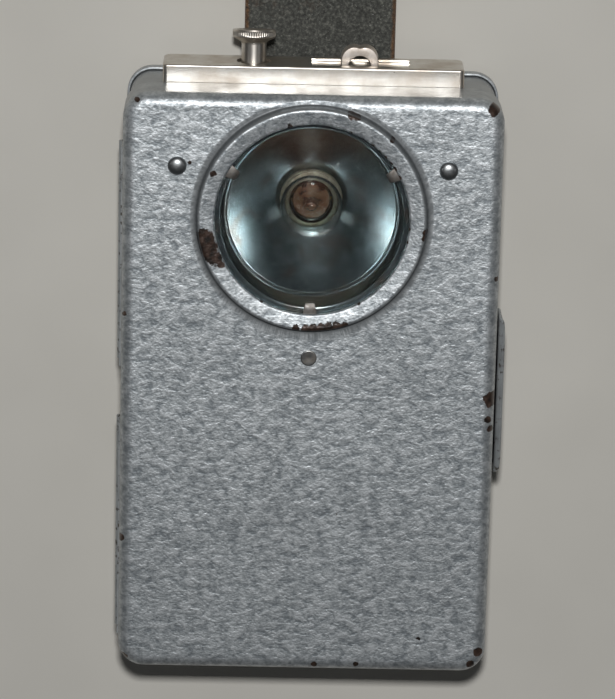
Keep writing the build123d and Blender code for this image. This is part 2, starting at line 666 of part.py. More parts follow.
# ---- Switch cap and its contacts ----------------------------------------------------------------
def cap_tabs(gap=0.0):
    """Four tabs that pass through the band under the front and back walls of the cap."""
    tabs = []
    for side in (-1, 1):
        x = CAP_MIDDLE + side * CAP_WIDTH * CAP_TAB_SPREAD
        for low_z in (CAP_BACK_Z, CAP_FRONT_Z - CAP_SHEET):
            tabs.append(block(
                (x - CAP_TAB_WIDTH / 2 - gap, BAND_INNER_Y - CAP_TAB_REACH, low_z - gap),
                (x + CAP_TAB_WIDTH / 2 + gap, CAP_INNER_Y, low_z + CAP_SHEET + gap),
            ))
    return tabs


def switch_cap():
    """The nickel cap: a tray open towards the band, with a button hole and a slot."""
    low = (CAP_MIDDLE - CAP_WIDTH / 2, BAND_OUTER_Y, CAP_BACK_Z)
    high = (CAP_MIDDLE + CAP_WIDTH / 2, CAP_TOP_Y, CAP_FRONT_Z)
    outer = block(low, high)
    outer = fillet(outer.edges().filter_by(Axis.Y).group_by(Axis.Z)[0], CAP_REAR_CORNER)
    outer = fillet(outer.edges().filter_by(Axis.Y).group_by(Axis.Z)[-1], CAP_FRONT_CORNER)
    outer = fillet(outer.faces().sort_by(Axis.Y)[-1].edges(), CAP_EDGE_RADIUS)
    inner = block(
        (low[0] + CAP_SHEET, BAND_OUTER_Y, CAP_BACK_Z + CAP_SHEET),
        (high[0] - CAP_SHEET, CAP_INNER_Y, CAP_FRONT_Z - CAP_SHEET),
    )
    rear = inner.edges().filter_by(Axis.Y).group_by(Axis.Z)[0]
    inner = fillet(rear, CAP_REAR_CORNER - CAP_SHEET)
    cap = outer - inner
    cap -= rod(BUTTON_HOLE_RADIUS, (BUTTON_X, BAND_OUTER_Y, CAP_Z), (BUTTON_X, CAP_TOP_Y, CAP_Z))
    cap -= block(
        (SLOT_MIDDLE - SLOT_LENGTH / 2, BAND_OUTER_Y, CAP_Z - SLOT_WIDTH / 2),
        (SLOT_MIDDLE + SLOT_LENGTH / 2, CAP_TOP_Y, CAP_Z + SLOT_WIDTH / 2),
    )
    for tab in cap_tabs():
        cap += tab
    return cap


def plunger_hole():
    """The round hole in the band and the board for the button's plunger."""
    radius = PLUNGER_RADIUS + PLUNGER_PLAY
    return rod(radius, (BUTTON_X, PLUNGER_TIP_Y, CAP_Z), (BUTTON_X, CAP_INNER_Y, CAP_Z))


def lug_slot():
    """The slot in the band, the board and the slide bed for the slide's lug."""
    half_length = SLIDE_TRAVEL + LUG_WIDTH / 2 + LUG_PLAY
    half_width = LUG_DEPTH / 2 + LUG_PLAY
    return block(
        (SLIDE_MIDDLE - half_length, LUG_TIP_Y, CAP_Z - half_width),
        (SLIDE_MIDDLE + half_length, CAP_INNER_Y, CAP_Z + half_width),
    )


def push_button():
    """A reeded head on a coned stem, with a flange under the cap and a plunger below it."""
    head_top = CAP_TOP_Y + BUTTON_RISE
    rim_low = head_top - BUTTON_RIM
    outline = Polyline(
        (0, head_top), (BUTTON_HEAD_RADIUS, head_top), (BUTTON_HEAD_RADIUS, rim_low),
        (BUTTON_STEM_RADIUS, rim_low - BUTTON_CONE), (BUTTON_STEM_RADIUS, FLANGE_TOP_Y),
        (BUTTON_FLANGE_RADIUS, FLANGE_TOP_Y), (BUTTON_FLANGE_RADIUS, FLANGE_BOTTOM_Y),
        (PLUNGER_RADIUS, FLANGE_BOTTOM_Y), (PLUNGER_RADIUS, PLUNGER_TIP_Y + PLUNGER_RADIUS),
        (0, PLUNGER_TIP_Y + PLUNGER_RADIUS), close=True,
    )
    face = Pos(BUTTON_X, 0, CAP_Z) * make_face(outline)
    button = revolve(face, Axis((BUTTON_X, 0, CAP_Z), (0, 1, 0)), 360)
    return button + Pos(BUTTON_X, PLUNGER_TIP_Y + PLUNGER_RADIUS, CAP_Z) * Sphere(PLUNGER_RADIUS)


def button_spring():
    """The return spring between the band and the button's flange."""
    free = FLANGE_BOTTOM_Y - BAND_OUTER_Y - 2 * SPRING_WIRE - 2 * SLIDING_GAP
    start = (BUTTON_X, BAND_OUTER_Y + SPRING_WIRE + SLIDING_GAP, CAP_Z)
    path = Helix(free / SPRING_TURNS, free, SPRING_RADIUS)
    wire = sweep(Plane(origin=path @ 0, z_dir=path % 0) * Circle(SPRING_WIRE), path)
    return Pos(*start) * Rot(-90, 0, 0) * wire


def contact_board():
    """The fibre board inside the band's upper wall."""
    board = block(
        (CAP_MIDDLE - BOARD_WIDTH / 2, BOARD_BOTTOM_Y, CAP_Z - BOARD_DEPTH / 2),
        (CAP_MIDDLE + BOARD_WIDTH / 2, BAND_INNER_Y, CAP_Z + BOARD_DEPTH / 2),
    )
    board -= plunger_hole()
    board -= lug_slot()
    return board - strip_rivet_shank()


def slide_bed():
    """Fibre rails that the slide plate runs on, under the cap."""
    play = SLIDING_GAP
    bed = block(
        (SLIDE_MIDDLE - SLIDE_TRAVEL - SLIDE_PLATE_LEFT, BAND_OUTER_Y, CAP_Z - SLIDE_PLATE_WIDTH / 2),
        (
            SLIDE_MIDDLE + SLIDE_TRAVEL + SLIDE_PLATE_RIGHT,
            PLATE_BOTTOM_Y - play, CAP_Z + SLIDE_PLATE_WIDTH / 2,
        ),
    )
    return bed - lug_slot()


def slide_plate():
    """The flat plate under the slot."""
    return block(
        (SLIDE_MIDDLE - SLIDE_PLATE_LEFT, PLATE_BOTTOM_Y, CAP_Z - SLIDE_PLATE_WIDTH / 2),
        (SLIDE_MIDDLE + SLIDE_PLATE_RIGHT, PLATE_TOP_Y, CAP_Z + SLIDE_PLATE_WIDTH / 2),
    )


def slide_tab():
    """The looped thumb tab: an arch with a half-round opening."""
    height = TAB_RISE + SLIDING_GAP + CAP_SHEET
    arch = block(
        (SLIDE_MIDDLE - TAB_WIDTH / 2, PLATE_TOP_Y, CAP_Z - TAB_DEPTH / 2),
        (SLIDE_MIDDLE + TAB_WIDTH / 2, PLATE_TOP_Y + height, CAP_Z + TAB_DEPTH / 2),
    )
    arch = fillet(arch.edges().filter_by(Axis.Z).group_by(Axis.Y)[-1], TAB_CORNER)
    low, high = CAP_Z - TAB_DEPTH, CAP_Z + TAB_DEPTH
    return arch - rod(
        TAB_OPENING / 2, (SLIDE_MIDDLE, PLATE_TOP_Y, low), (SLIDE_MIDDLE, PLATE_TOP_Y, high)
    )


def slide_lug():
    """The fibre lug that reaches through the band to the fixed contact strip."""
    return block(
        (SLIDE_MIDDLE - LUG_WIDTH / 2, LUG_TIP_Y, CAP_Z - LUG_DEPTH / 2),
        (SLIDE_MIDDLE + LUG_WIDTH / 2, PLATE_BOTTOM_Y, CAP_Z + LUG_DEPTH / 2),
    )


def leaf_post():
    """The post under the board that holds the contact leaf's fixed end."""
    start_x = LEAF_PIVOT_X + LEAF_POST_GAP
    return block(
        (start_x, LEAF_TOP_Y - CONTACT_SHEET, CAP_Z - CONTACT_LEAF_WIDTH / 2),
        (start_x + LEAF_POST_LENGTH, BOARD_BOTTOM_Y, CAP_Z + CONTACT_LEAF_WIDTH / 2),
    )


def contact_leaf():
    """The springy brass leaf that the button's plunger bends."""
    low_y, half = LEAF_TOP_Y - CONTACT_SHEET, CONTACT_LEAF_WIDTH / 2
    return block(
        (LEAF_PIVOT_X - CONTACT_LEAF_LENGTH, low_y, CAP_Z - half),
        (LEAF_PIVOT_X - 2 * LEAF_POST_GAP, LEAF_TOP_Y, CAP_Z + half),
    )


def strip_rivet_x():
    """The fixed strip's rivet stands past the far end of the slide's travel."""
    return SLIDE_MIDDLE + SLIDE_TRAVEL + LUG_WIDTH / 2 + STRIP_RIVET_BEYOND


def strip_rivet_shank():
    """The rivet's shank, through the board and the strip."""
    x = strip_rivet_x()
    low = BOARD_BOTTOM_Y - CONTACT_SHEET
    return rod(RIVET_SHANK_RADIUS, (x, low, CAP_Z), (x, BAND_INNER_Y, CAP_Z))


def strip_rivet():
    """The rivet that holds the fixed contact strip."""
    x = strip_rivet_x()
    low = BOARD_BOTTOM_Y - CONTACT_SHEET
    tail = rod(RIVET_TAIL_RADIUS, (x, low - RIVET_TAIL_HEIGHT, CAP_Z), (x, low, CAP_Z))
    return strip_rivet_shank() + tail


def contact_strip():
    """The fixed strip: a foot on the board, a step, and an arm under the slide's lug."""
    x = strip_rivet_x()
    low_z, high_z = CAP_Z - CONTACT_LEAF_WIDTH / 2, CAP_Z + CONTACT_LEAF_WIDTH / 2
    step_x = x - STRIP_FOOT_INNER
    arm_top = LUG_TIP_Y - STRIP_ARM_GAP
    foot = block(
        (step_x, BOARD_BOTTOM_Y - CONTACT_SHEET, low_z),
        (x + STRIP_FOOT_OUTER, BOARD_BOTTOM_Y, high_z),
    )
    step = block(
        (step_x, arm_top - CONTACT_SHEET, low_z),
        (step_x + CONTACT_SHEET, BOARD_BOTTOM_Y, high_z),
    )
    arm = block(
        (SLIDE_MIDDLE - SLIDE_TRAVEL, arm_top - CONTACT_SHEET, low_z),
        (step_x + CONTACT_SHEET, arm_top, high_z),
    )
    return foot + step + arm - strip_rivet_shank()


# ---- Battery ------------------------------------------------------------------------------------
def battery_prism(inset, low_y, high_y):
    """A length of the battery's rounded outline, set in from its outside."""
    outline = RectangleRounded(
        BATTERY_WIDTH - 2 * inset, BATTERY_DEPTH - 2 * inset, BATTERY_CORNER - inset
    )
    plane = Plane(origin=(0, low_y, BATTERY_Z), x_dir=(1, 0, 0), z_dir=(0, 1, 0))
    return extrude(plane * outline, high_y - low_y)


def battery_sleeve():
    """The card sleeve, closed at its lower end."""
    sleeve = battery_prism(0, BATTERY_LOW_Y, BATTERY_TOP_Y)
    return sleeve - battery_prism(BATTERY_WALL, BATTERY_LOW_Y + BATTERY_WALL, BATTERY_TOP_Y)


def battery_cells():
    """Three round cells side by side in the sleeve."""
    low, high = BATTERY_LOW_Y + BATTERY_WALL, BATTERY_TOP_Y - SEAL_THICKNESS
    pitch = CELL_SPACE - CELL_PLAY / 2
    return [
        rod(CELL_RADIUS, (side * pitch, low, BATTERY_Z), (side * pitch, high, BATTERY_Z))
        for side in (-1, 0, 1)
    ]


def battery_seal():
    """The pitch seal over the cells."""
    return battery_prism(BATTERY_WALL, BATTERY_TOP_Y - SEAL_THICKNESS, BATTERY_TOP_Y)


def battery_long_strip():
    """The long brass strip, up towards the button's contact leaf."""
    half_width, half_thickness = STRIP_WIDTH / 2, STRIP_THICKNESS / 2
    end_y = BATTERY_TOP_Y + LONG_STRIP_LENGTH
    return block(
        (-STRIP_X - half_width, BATTERY_TOP_Y, BATTERY_Z - half_thickness),
        (-STRIP_X + half_width, end_y, BATTERY_Z + half_thickness),
    )


def battery_short_strip():
    """The short brass strip, bent back towards the bulb contact."""
    low_x, high_x = STRIP_X - STRIP_WIDTH / 2, STRIP_X + STRIP_WIDTH / 2
    bend_y = BATTERY_TOP_Y + SHORT_STRIP_RISE
    rise = block(
        (low_x, BATTERY_TOP_Y, BATTERY_Z - STRIP_THICKNESS / 2),
        (high_x, bend_y, BATTERY_Z + STRIP_THICKNESS / 2),
    )
    down = block(
        (low_x, bend_y - STRIP_THICKNESS, LINER_TOP_Z + STRIP_THICKNESS),
        (high_x, bend_y, BATTERY_Z + STRIP_THICKNESS / 2),
    )
    return rise + down


def bulb_contact():
    """The brass strip on the liner card that leads from the short strip to under the bulb."""
    low_z, high_z = LINER_TOP_Z, LINER_TOP_Z + STRIP_THICKNESS
    low_x, high_x = STRIP_X - STRIP_WIDTH / 2, STRIP_X + STRIP_WIDTH / 2
    half = STRIP_WIDTH / 2
    up = block((low_x, BATTERY_TOP_Y + BULB_CONTACT_GAP, low_z), (high_x, LENS_Y + half, high_z))
    across = block((-half, LENS_Y - half, low_z), (high_x, LENS_Y + half, high_z))
    return up + across


# ---- Latch --------------------------------------------------------------------------------------
def latch_rivet_places():
    """Where the latch's rivets are along its length."""
    return [LATCH_MIDDLE + side * LATCH_RIVET_SPACING / 2 for side in (-1, 1)]


def latch_rivet_z():
    """The latch's rivets are halfway up its foot."""
    return (LATCH_FOOT_TOP + BACK_Z + BACK_RIM_HEIGHT) / 2


def latch_foot():
    """The fixed foot of the latch strip, flat on the band."""
    low_z = BACK_Z + BACK_RIM_HEIGHT + SLIDING_GAP
    foot = block(
        (LATCH_FOOT_X, LATCH_MIDDLE - LATCH_LENGTH / 2, low_z),
        (LATCH_FOOT_X + LATCH_SHEET, LATCH_MIDDLE + LATCH_LENGTH / 2, LATCH_FOOT_TOP),
    )
    for y in latch_rivet_places():
        foot -= rod(RIVET_SHANK_RADIUS, (0, y, latch_rivet_z()), (CASE_WIDTH, y, latch_rivet_z()))
    return foot


def latch_rivets():
    """Two rivets through the band and the latch's foot."""
    inner, outer = LATCH_FOOT_X - SHEET, LATCH_FOOT_X + LATCH_SHEET
    z = latch_rivet_z()
    rivets = []
    for y in latch_rivet_places():
        rivet = rod(RIVET_SHANK_RADIUS, (inner, y, z), (outer, y, z))
        rivet += rod(RIVET_TAIL_RADIUS, (inner - RIVET_TAIL_HEIGHT, y, z), (inner, y, z))
        rivet += rod(RIVET_TAIL_RADIUS, (outer, y, z), (outer + RIVET_TAIL_HEIGHT, y, z))
        rivets.append(rivet)
    return rivets


def latch_arm():
    """The springy part of the latch: it steps out over the cover's wall, with a bead and a lip."""
    low_y, high_y = LATCH_MIDDLE - LATCH_LENGTH / 2, LATCH_MIDDLE + LATCH_LENGTH / 2
    foot_x, arm_x = LATCH_FOOT_X, LATCH_ARM_X
    low_z, top_z = LATCH_FOOT_TOP + LATCH_FOOT_GAP, LATCH_TOP_Z
    step_z = SEAM_Z - LATCH_STEP_BELOW_SEAM
    arm_z = step_z + LATCH_STEP_OUTER
    outline = Polyline(
        (foot_x, low_z), (foot_x + LATCH_SHEET, low_z), (foot_x + LATCH_SHEET, step_z),
        (arm_x + LATCH_SHEET, arm_z), (arm_x + LATCH_SHEET, top_z - LATCH_LIP),
        (arm_x + LATCH_SHEET + LATCH_LIP, top_z), (arm_x + LATCH_LIP, top_z),
        (arm_x, top_z - LATCH_LIP), (arm_x, arm_z), (foot_x, step_z + LATCH_STEP_INNER), close=True,
    )
    section = Plane(origin=(0, high_y, 0), x_dir=(1, 0, 0), z_dir=(0, -1, 0)) * make_face(outline)
    arm = extrude(section, high_y - low_y)
    bead_z = (SEAM_Z + top_z) / 2
    bead_half = LATCH_LENGTH / 4
    return arm + rod(
        LATCH_BEAD_RADIUS, (arm_x, LATCH_MIDDLE - bead_half, bead_z),
        (arm_x, LATCH_MIDDLE + bead_half, bead_z),
    )


# ---- Leather tab --------------------------------------------------------------------------------
def strap_back():
    """The stretch of leather riveted to the back of the case."""
    strap = block(
        (STRAP_MIDDLE - STRAP_WIDTH / 2, STRAP_LOWER_END, 0),
        (STRAP_MIDDLE + STRAP_WIDTH / 2, STRAP_FOLD_Y - FOLD_RADIUS - STRAP_FOLD_GAP, STRAP_THICKNESS),
    )
    lower = strap.edges().filter_by(Axis.Z).group_by(Axis.Y)[0]
    strap = fillet(lower, STRAP_END_RADIUS)
    for place in STRAP_RIVET_PLACES:
        strap -= rod(RIVET_SHANK_RADIUS, (STRAP_MIDDLE, place, 0), (STRAP_MIDDLE, place, BACK_Z))
        strap -= rod(
            STRAP_RIVET_HEAD, (STRAP_MIDDLE, place, 0), (STRAP_MIDDLE, place, STRAP_RIVET_HEAD_HEIGHT)
        )
    return strap


def strap_end():
    """The free end of the leather, with a rounded tip and a buttonhole."""
    low_y = STRAP_FOLD_Y
    half = STRAP_WIDTH / 2
    strap = block(
        (STRAP_MIDDLE - half, low_y, 0), (STRAP_MIDDLE + half, STRAP_TOP_END, STRAP_THICKNESS)
    )
    strap = fillet(strap.edges().filter_by(Axis.Z).group_by(Axis.Y)[-1], STRAP_END_RADIUS)
    strap += rod(
        FOLD_RADIUS, (STRAP_MIDDLE - half, low_y, FOLD_RADIUS), (STRAP_MIDDLE + half, low_y, FOLD_RADIUS)
    )
    hole_y = buttonhole_y()
    strap -= rod(BUTTONHOLE_RADIUS, (STRAP_MIDDLE, hole_y, 0), (STRAP_MIDDLE, hole_y, STRAP_THICKNESS))
    return strap - block(
        (STRAP_MIDDLE - BUTTONHOLE_SLIT_WIDTH / 2, hole_y - BUTTONHOLE_RADIUS - BUTTONHOLE_SLIT, 0),
        (STRAP_MIDDLE + BUTTONHOLE_SLIT_WIDTH / 2, hole_y, STRAP_THICKNESS),
    )


def buttonhole_y():
    """The buttonhole's place along the leather."""
    return STRAP_TOP_END - BUTTONHOLE_FROM_END


def strap_rivet(place):
    """A rivet through the leather and the back plate, its head pressed into the leather."""
    tail_z = INNER_BACK_Z
    rivet = rod(RIVET_SHANK_RADIUS, (STRAP_MIDDLE, place, 0), (STRAP_MIDDLE, place, tail_z))
    rivet += rod(
        STRAP_RIVET_HEAD, (STRAP_MIDDLE, place, 0), (STRAP_MIDDLE, place, STRAP_RIVET_HEAD_HEIGHT)
    )
    return rivet + rod(
        STRAP_RIVET_HEAD, (STRAP_MIDDLE, place, tail_z),
        (STRAP_MIDDLE, place, tail_z + STRAP_RIVET_TAIL_HEIGHT),
    )


def main():
    """Writes every node."""
    os.makedirs("parts", exist_ok=True)
    save("back_plate", back_plate())
    save("body_band", body_band())
    save("front_cover", front_cover())
    save("liner_card", liner_card())
    save("cover_hinge_leaf", *cover_hinge_leaf())
    save("body_hinge_leaf", *body_hinge_leaf())
    save("hinge_pins", *hinge_pins())
    save("reflector_carrier", reflector_carrier())
    save("dome_rivets", *[dome_rivet(angle) for angle in DOME_ANGLES])
    save("flat_rivet", flat_rivet(FLAT_RIVET_ANGLE))
    save("lens_glass", lens_glass())
    save("glass_retainer", glass_retainer())
    save("reflector", reflector())
    save("bulb_globe", bulb_globe())
    save("bulb_mount", bulb_mount())
    save("bulb_base", bulb_base())
    save("bulb_insulator", bulb_insulator())
    save("bulb_tip", bulb_tip())
    save("bulb_socket", bulb_socket())
    save("switch_cap", switch_cap())
    save("push_button", push_button())
    save("button_spring", button_spring())
    save("contact_board", contact_board())
    save("slide_bed", slide_bed())
    save("slide_plate", slide_plate())
    save("slide_tab", slide_tab())
    save("slide_lug", slide_lug())
    save("leaf_post", leaf_post())
    save("contact_leaf", contact_leaf())
    save("contact_strip", contact_strip())
    save("strip_rivet", strip_rivet())
    save("battery_sleeve", battery_sleeve())
    save("battery_cells", *battery_cells())
    save("battery_seal", battery_seal())
    save("battery_long_strip", battery_long_strip())
    save("battery_short_strip", battery_short_strip())
    save("bulb_contact", bulb_contact())
    save("latch_foot", latch_foot())
    save("latch_rivets", *latch_rivets())
    save("latch_arm", latch_arm())
    save("strap_back", strap_back())
    save("strap_end", strap_end())
    save("strap_rivets", *[strap_rivet(place) for place in STRAP_RIVET_PLACES])


main()
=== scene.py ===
from math import pi, radians

import bmesh
import bpy
import numpy as np
from mathutils import Matrix, Vector


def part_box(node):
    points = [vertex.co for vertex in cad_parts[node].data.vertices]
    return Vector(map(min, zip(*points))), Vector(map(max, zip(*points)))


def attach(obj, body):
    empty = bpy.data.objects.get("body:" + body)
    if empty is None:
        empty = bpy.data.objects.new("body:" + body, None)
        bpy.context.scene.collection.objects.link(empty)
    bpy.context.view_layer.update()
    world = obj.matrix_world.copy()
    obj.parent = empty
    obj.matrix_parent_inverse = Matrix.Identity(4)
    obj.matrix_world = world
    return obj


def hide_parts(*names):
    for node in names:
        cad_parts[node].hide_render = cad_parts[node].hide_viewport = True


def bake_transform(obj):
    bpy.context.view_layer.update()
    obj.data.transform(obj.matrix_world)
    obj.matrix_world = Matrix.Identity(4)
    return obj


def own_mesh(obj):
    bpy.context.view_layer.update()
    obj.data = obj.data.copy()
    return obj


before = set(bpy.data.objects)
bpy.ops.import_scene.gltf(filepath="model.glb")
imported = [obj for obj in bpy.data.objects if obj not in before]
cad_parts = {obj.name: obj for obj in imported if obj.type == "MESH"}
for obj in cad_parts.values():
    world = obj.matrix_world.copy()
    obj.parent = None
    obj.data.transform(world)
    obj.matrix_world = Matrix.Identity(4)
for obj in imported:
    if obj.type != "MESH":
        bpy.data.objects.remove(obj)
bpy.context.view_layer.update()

MM = 0.001
MERGE = 1e-6
TINY = 1e-9


def node_box(node):
    """A node's lowest and highest corners, in millimetres."""
    low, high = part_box(node)
    return np.array(low) / MM, np.array(high) / MM


# ---- Sizes, in millimetres ----
cover_low, cover_high = node_box("front_cover")
back_low, back_high = node_box("back_plate")
glass_low, glass_high = node_box("lens_glass")
cap_high = node_box("switch_cap")[1]
loop_low, loop_high = node_box("slide_tab")
button_low, button_high = node_box("push_button")
hinge_low, hinge_high = node_box("cover_hinge_leaf")
foot_low, foot_high = node_box("latch_foot")
arm_high = node_box("latch_arm")[1]
strap_low, strap_high = node_box("strap_back")
end_low, end_high = node_box("strap_end")
base_low, base_high = node_box("bulb_base")
socket_low, socket_high = node_box("bulb_socket")
cone_low, cone_high = node_box("bulb_insulator")
tip_low, tip_high = node_box("bulb_tip")
dome_low, dome_high = node_box("dome_rivets")
spring_low, spring_high = node_box("button_spring")

SHEET = 0.5
GLASS_PROUD = 0.6
LENS = (glass_low + glass_high) / 2
GLASS_RADIUS = (glass_high[0] - glass_low[0]) / 2
FACE_Z = glass_high[2] - GLASS_PROUD
SEAM_Z = cover_low[2]
WIDTH = cover_high[0] - cover_low[0]
LENGTH = cover_high[1] - cover_low[1]
CORNER = 4.8
EDGE_RADIUS = 2.2
BACK_RADIUS = 1.2
COLLAR_RADIUS = 21.3
COLLAR_FOOT = 0.5
LIP_RADIUS = 17.9
HINGE_MIDDLE = -3.0
HINGE_GAP = 11.3
NOTCH_RISE = 0.95
RIVET_CIRCLE = 26.7
DOME_ANGLES = (21.0, 159.0)
FLAT_ANGLE = 270.0
CLAW_ANGLES = (30.0, 150.0, 270.0)
BUTTON_AXIS = (button_low + button_high) / 2
BUTTON_LEAN = -8.0
LATCH_SHEET = foot_high[0] - foot_low[0]


# ---- Shapes ----
def bent(corners, radii, steps=6, closed=False):
    """A path of straight runs with rounded corners.

    Round each corner it leaves one run at a, a radius before the corner, and joins the next at b, a
    radius past it, as a(1-t)(1-t) + 2 corner t(1-t) + b t t while t goes from 0 to 1.
    """
    corners = np.asarray(corners, float)
    reach = np.broadcast_to(np.asarray(radii, float), len(corners))[:, None]

    def stand_back(other):
        run = other - corners
        length = np.linalg.norm(run, axis=1, keepdims=True)
        return corners + run * np.minimum(reach / np.maximum(length, TINY), 0.5)

    a = stand_back(np.roll(corners, 1, 0))[:, None]
    b = stand_back(np.roll(corners, -1, 0))[:, None]
    t = np.linspace(0, 1, steps + 1)[None, :, None]
    path = a * (1 - t) ** 2 + 2 * corners[:, None] * t * (1 - t) + b * t ** 2
    if closed:
        path = path.reshape(-1, corners.shape[1])
        return np.vstack([path, path[:1]])
    path[0], path[-1] = corners[0], corners[-1]
    return path.reshape(-1, corners.shape[1])


def turned(profile, centre, around, along=2, swell=0.0):
    """A solid of revolution from (radius, height) points.

    A point at angle a round the line through the centre is (radius cos a, radius sin a, height), and
    swell is added to the radius. Along says which axis the line follows.
    """
    profile = np.asarray(profile, float)
    angle = np.linspace(0, 2 * pi, around + 1)[None, :]
    radius = profile[:, :1] + swell
    height = profile[:, 1:] + 0 * angle
    grid = [radius * np.cos(angle), radius * np.sin(angle)]
    grid.insert(along, height)
    return np.stack(grid, -1) + np.asarray(centre, float)


def outline(width, length, corner, spacing=0.6, corner_steps=14):
    """Stations round a rounded rectangle, anticlockwise from its right side.

    A station is a point on the smaller rectangle of the corners' centres, with the way that it
    faces; the outline itself is the station plus the corner's radius along that facing.
    """
    half = np.array([width / 2 - corner, length / 2 - corner])
    places, facings = [], []
    for index, signs in enumerate([(1, 1), (-1, 1), (-1, -1), (1, -1)]):
        here = half * signs
        following = half * [(-1, 1), (-1, -1), (1, -1), (1, 1)][index]
        angle = (index + np.linspace(0, 1, corner_steps + 1)) * pi / 2
        arc = np.stack([np.cos(angle), np.sin(angle)], -1)
        count = max(int(np.linalg.norm(following - here) / spacing), 1)
        share = np.linspace(0, 1, count + 1)[1:-1, None]
        places += [np.broadcast_to(here, arc.shape), here + (following - here) * share]
        facings += [arc, np.broadcast_to(arc[-1], (count - 1, 2))]
    places, facings = np.concatenate(places), np.concatenate(facings)
    return np.vstack([places, places[:1]]), np.vstack([facings, facings[:1]])


def carried(path, side, width, thickness, corner=0.1, corner_steps=3):
    """A bar with a rounded rectangular section carried along a path.

    At each path point the section lies across the path: width goes along the side direction and
    thickness along what is square to both. Each end is drawn in by the corner and closed in a point.
    A point that repeats the one before it is left out.
    """
    path = np.asarray(path, float)
    kept = np.append(True, np.linalg.norm(np.diff(path, axis=0), axis=1) > MERGE / MM)
    width = np.broadcast_to(np.asarray(width, float), len(path))[kept, None]
    thickness = np.broadcast_to(np.asarray(thickness, float), len(path))[kept, None]
    path = path[kept]
    run = np.gradient(path, axis=0)
    run /= np.maximum(np.linalg.norm(run, axis=1, keepdims=True), TINY)
    side = np.broadcast_to(np.asarray(side, float), path.shape)
    upward = np.cross(run, side)
    upward /= np.maximum(np.linalg.norm(upward, axis=1, keepdims=True), TINY)
    angle = np.concatenate([(k + np.linspace(0, 1, corner_steps + 1)) * pi / 2 for k in range(4)])
    angle = np.append(angle, angle[0])
    quarter = np.append(np.repeat(np.arange(4), corner_steps + 1), 0)
    across = np.array([1, -1, -1, 1])[quarter] * (width / 2 - corner) + corner * np.cos(angle)
    over = np.array([1, 1, -1, -1])[quarter] * (thickness / 2 - corner) + corner * np.sin(angle)
    grid = path[:, None] + side[:, None] * across[..., None] + upward[:, None] * over[..., None]
    first, last = grid[0].copy(), grid[-1].copy()
    grid[0] += run[0] * corner
    grid[-1] -= run[-1] * corner
    draw_in = 1 - corner / np.minimum(width, thickness).min()
    ends = [(middle + (row - middle) * draw_in)[None]
            for middle, row in ((path[0], first), (path[-1], last))]
    poles = [np.broadcast_to(point, first.shape)[None] for point in (path[0], path[-1])]
    return np.concatenate([poles[0], ends[0], grid, ends[1], poles[1]])


def ripples(x, y, sizes, heights):
    """A gentle unevenness: sine waves of the given sizes, each crossing the last at a new slant."""
    total = np.zeros_like(x)
    for index, (size, height) in enumerate(zip(sizes, heights)):
        slant = 0.7 + 1.9 * index
        along = (x * np.cos(slant) + y * np.sin(slant)) / size
        across = (y * np.cos(slant) - x * np.sin(slant)) / (1.3 * size)
        total = total + height * np.sin(2 * pi * along + index) * np.sin(2 * pi * across + 2 * index)
    return total


# ---- Meshes ----
def put(name, data):
    """A new object in the scene."""
    made = bpy.data.objects.new(name, data)
    bpy.context.scene.collection.objects.link(made)
    return made


def make_piece(name, grids, material, replaced=(), body=None, sharp=38.0, marks=None):
    """Joins grids of points, in millimetres, into one smooth closed mesh.

    Every square of four neighbouring points is a face. Points that lie together are merged, so a
    grid that comes round to its start closes there, and a row drawn into one point is a pole.
    Marks are named values, one for each point, that the material reads.
    """
    points, faces, start = [], [], 0
    for grid in grids:
        rows, columns = grid.shape[:2]
        index = np.arange(rows * columns).reshape(rows, columns) + start
        quads = np.stack([index[:-1, :-1], index[:-1, 1:], index[1:, 1:], index[1:, :-1]], -1)
        points.append(grid.reshape(-1, 3))
        faces.append(quads.reshape(-1, 4))
        start += rows * columns
    mesh = bpy.data.meshes.new(name)
    mesh.from_pydata(np.concatenate(points) * MM, [], np.concatenate(faces))
    for mark, values in (marks or {}).items():
        flat = np.concatenate([
            np.broadcast_to(value, grid.shape[:2]).ravel() for value, grid in zip(values, grids)
        ])
        layer = mesh.attributes.new(mark, "FLOAT", "POINT")
        layer.data.foreach_set("value", flat.astype(np.float32))
    shape = bmesh.new()
    shape.from_mesh(mesh)
    bmesh.ops.remove_doubles(shape, verts=shape.verts, dist=MERGE)
    bmesh.ops.recalc_face_normals(shape, faces=shape.faces)
    shape.to_mesh(mesh)
    shape.free()
    mesh.shade_smooth()
    mesh.set_sharp_from_angle(angle=radians(sharp))
    mesh.materials.append(material)
    made = put(name, mesh)
    if body:
        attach(made, body)
    if replaced:
        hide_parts(*replaced)
    return made


# ---- Finishes ----
def level(red, green, blue):
    """A colour from its screen levels, 0 to 255."""
    share = np.array([red, green, blue]) / 255
    linear = np.where(share <= 0.04045, share / 12.92, ((share + 0.055) / 1.055) ** 2.4)
    return (*linear, 1.0)


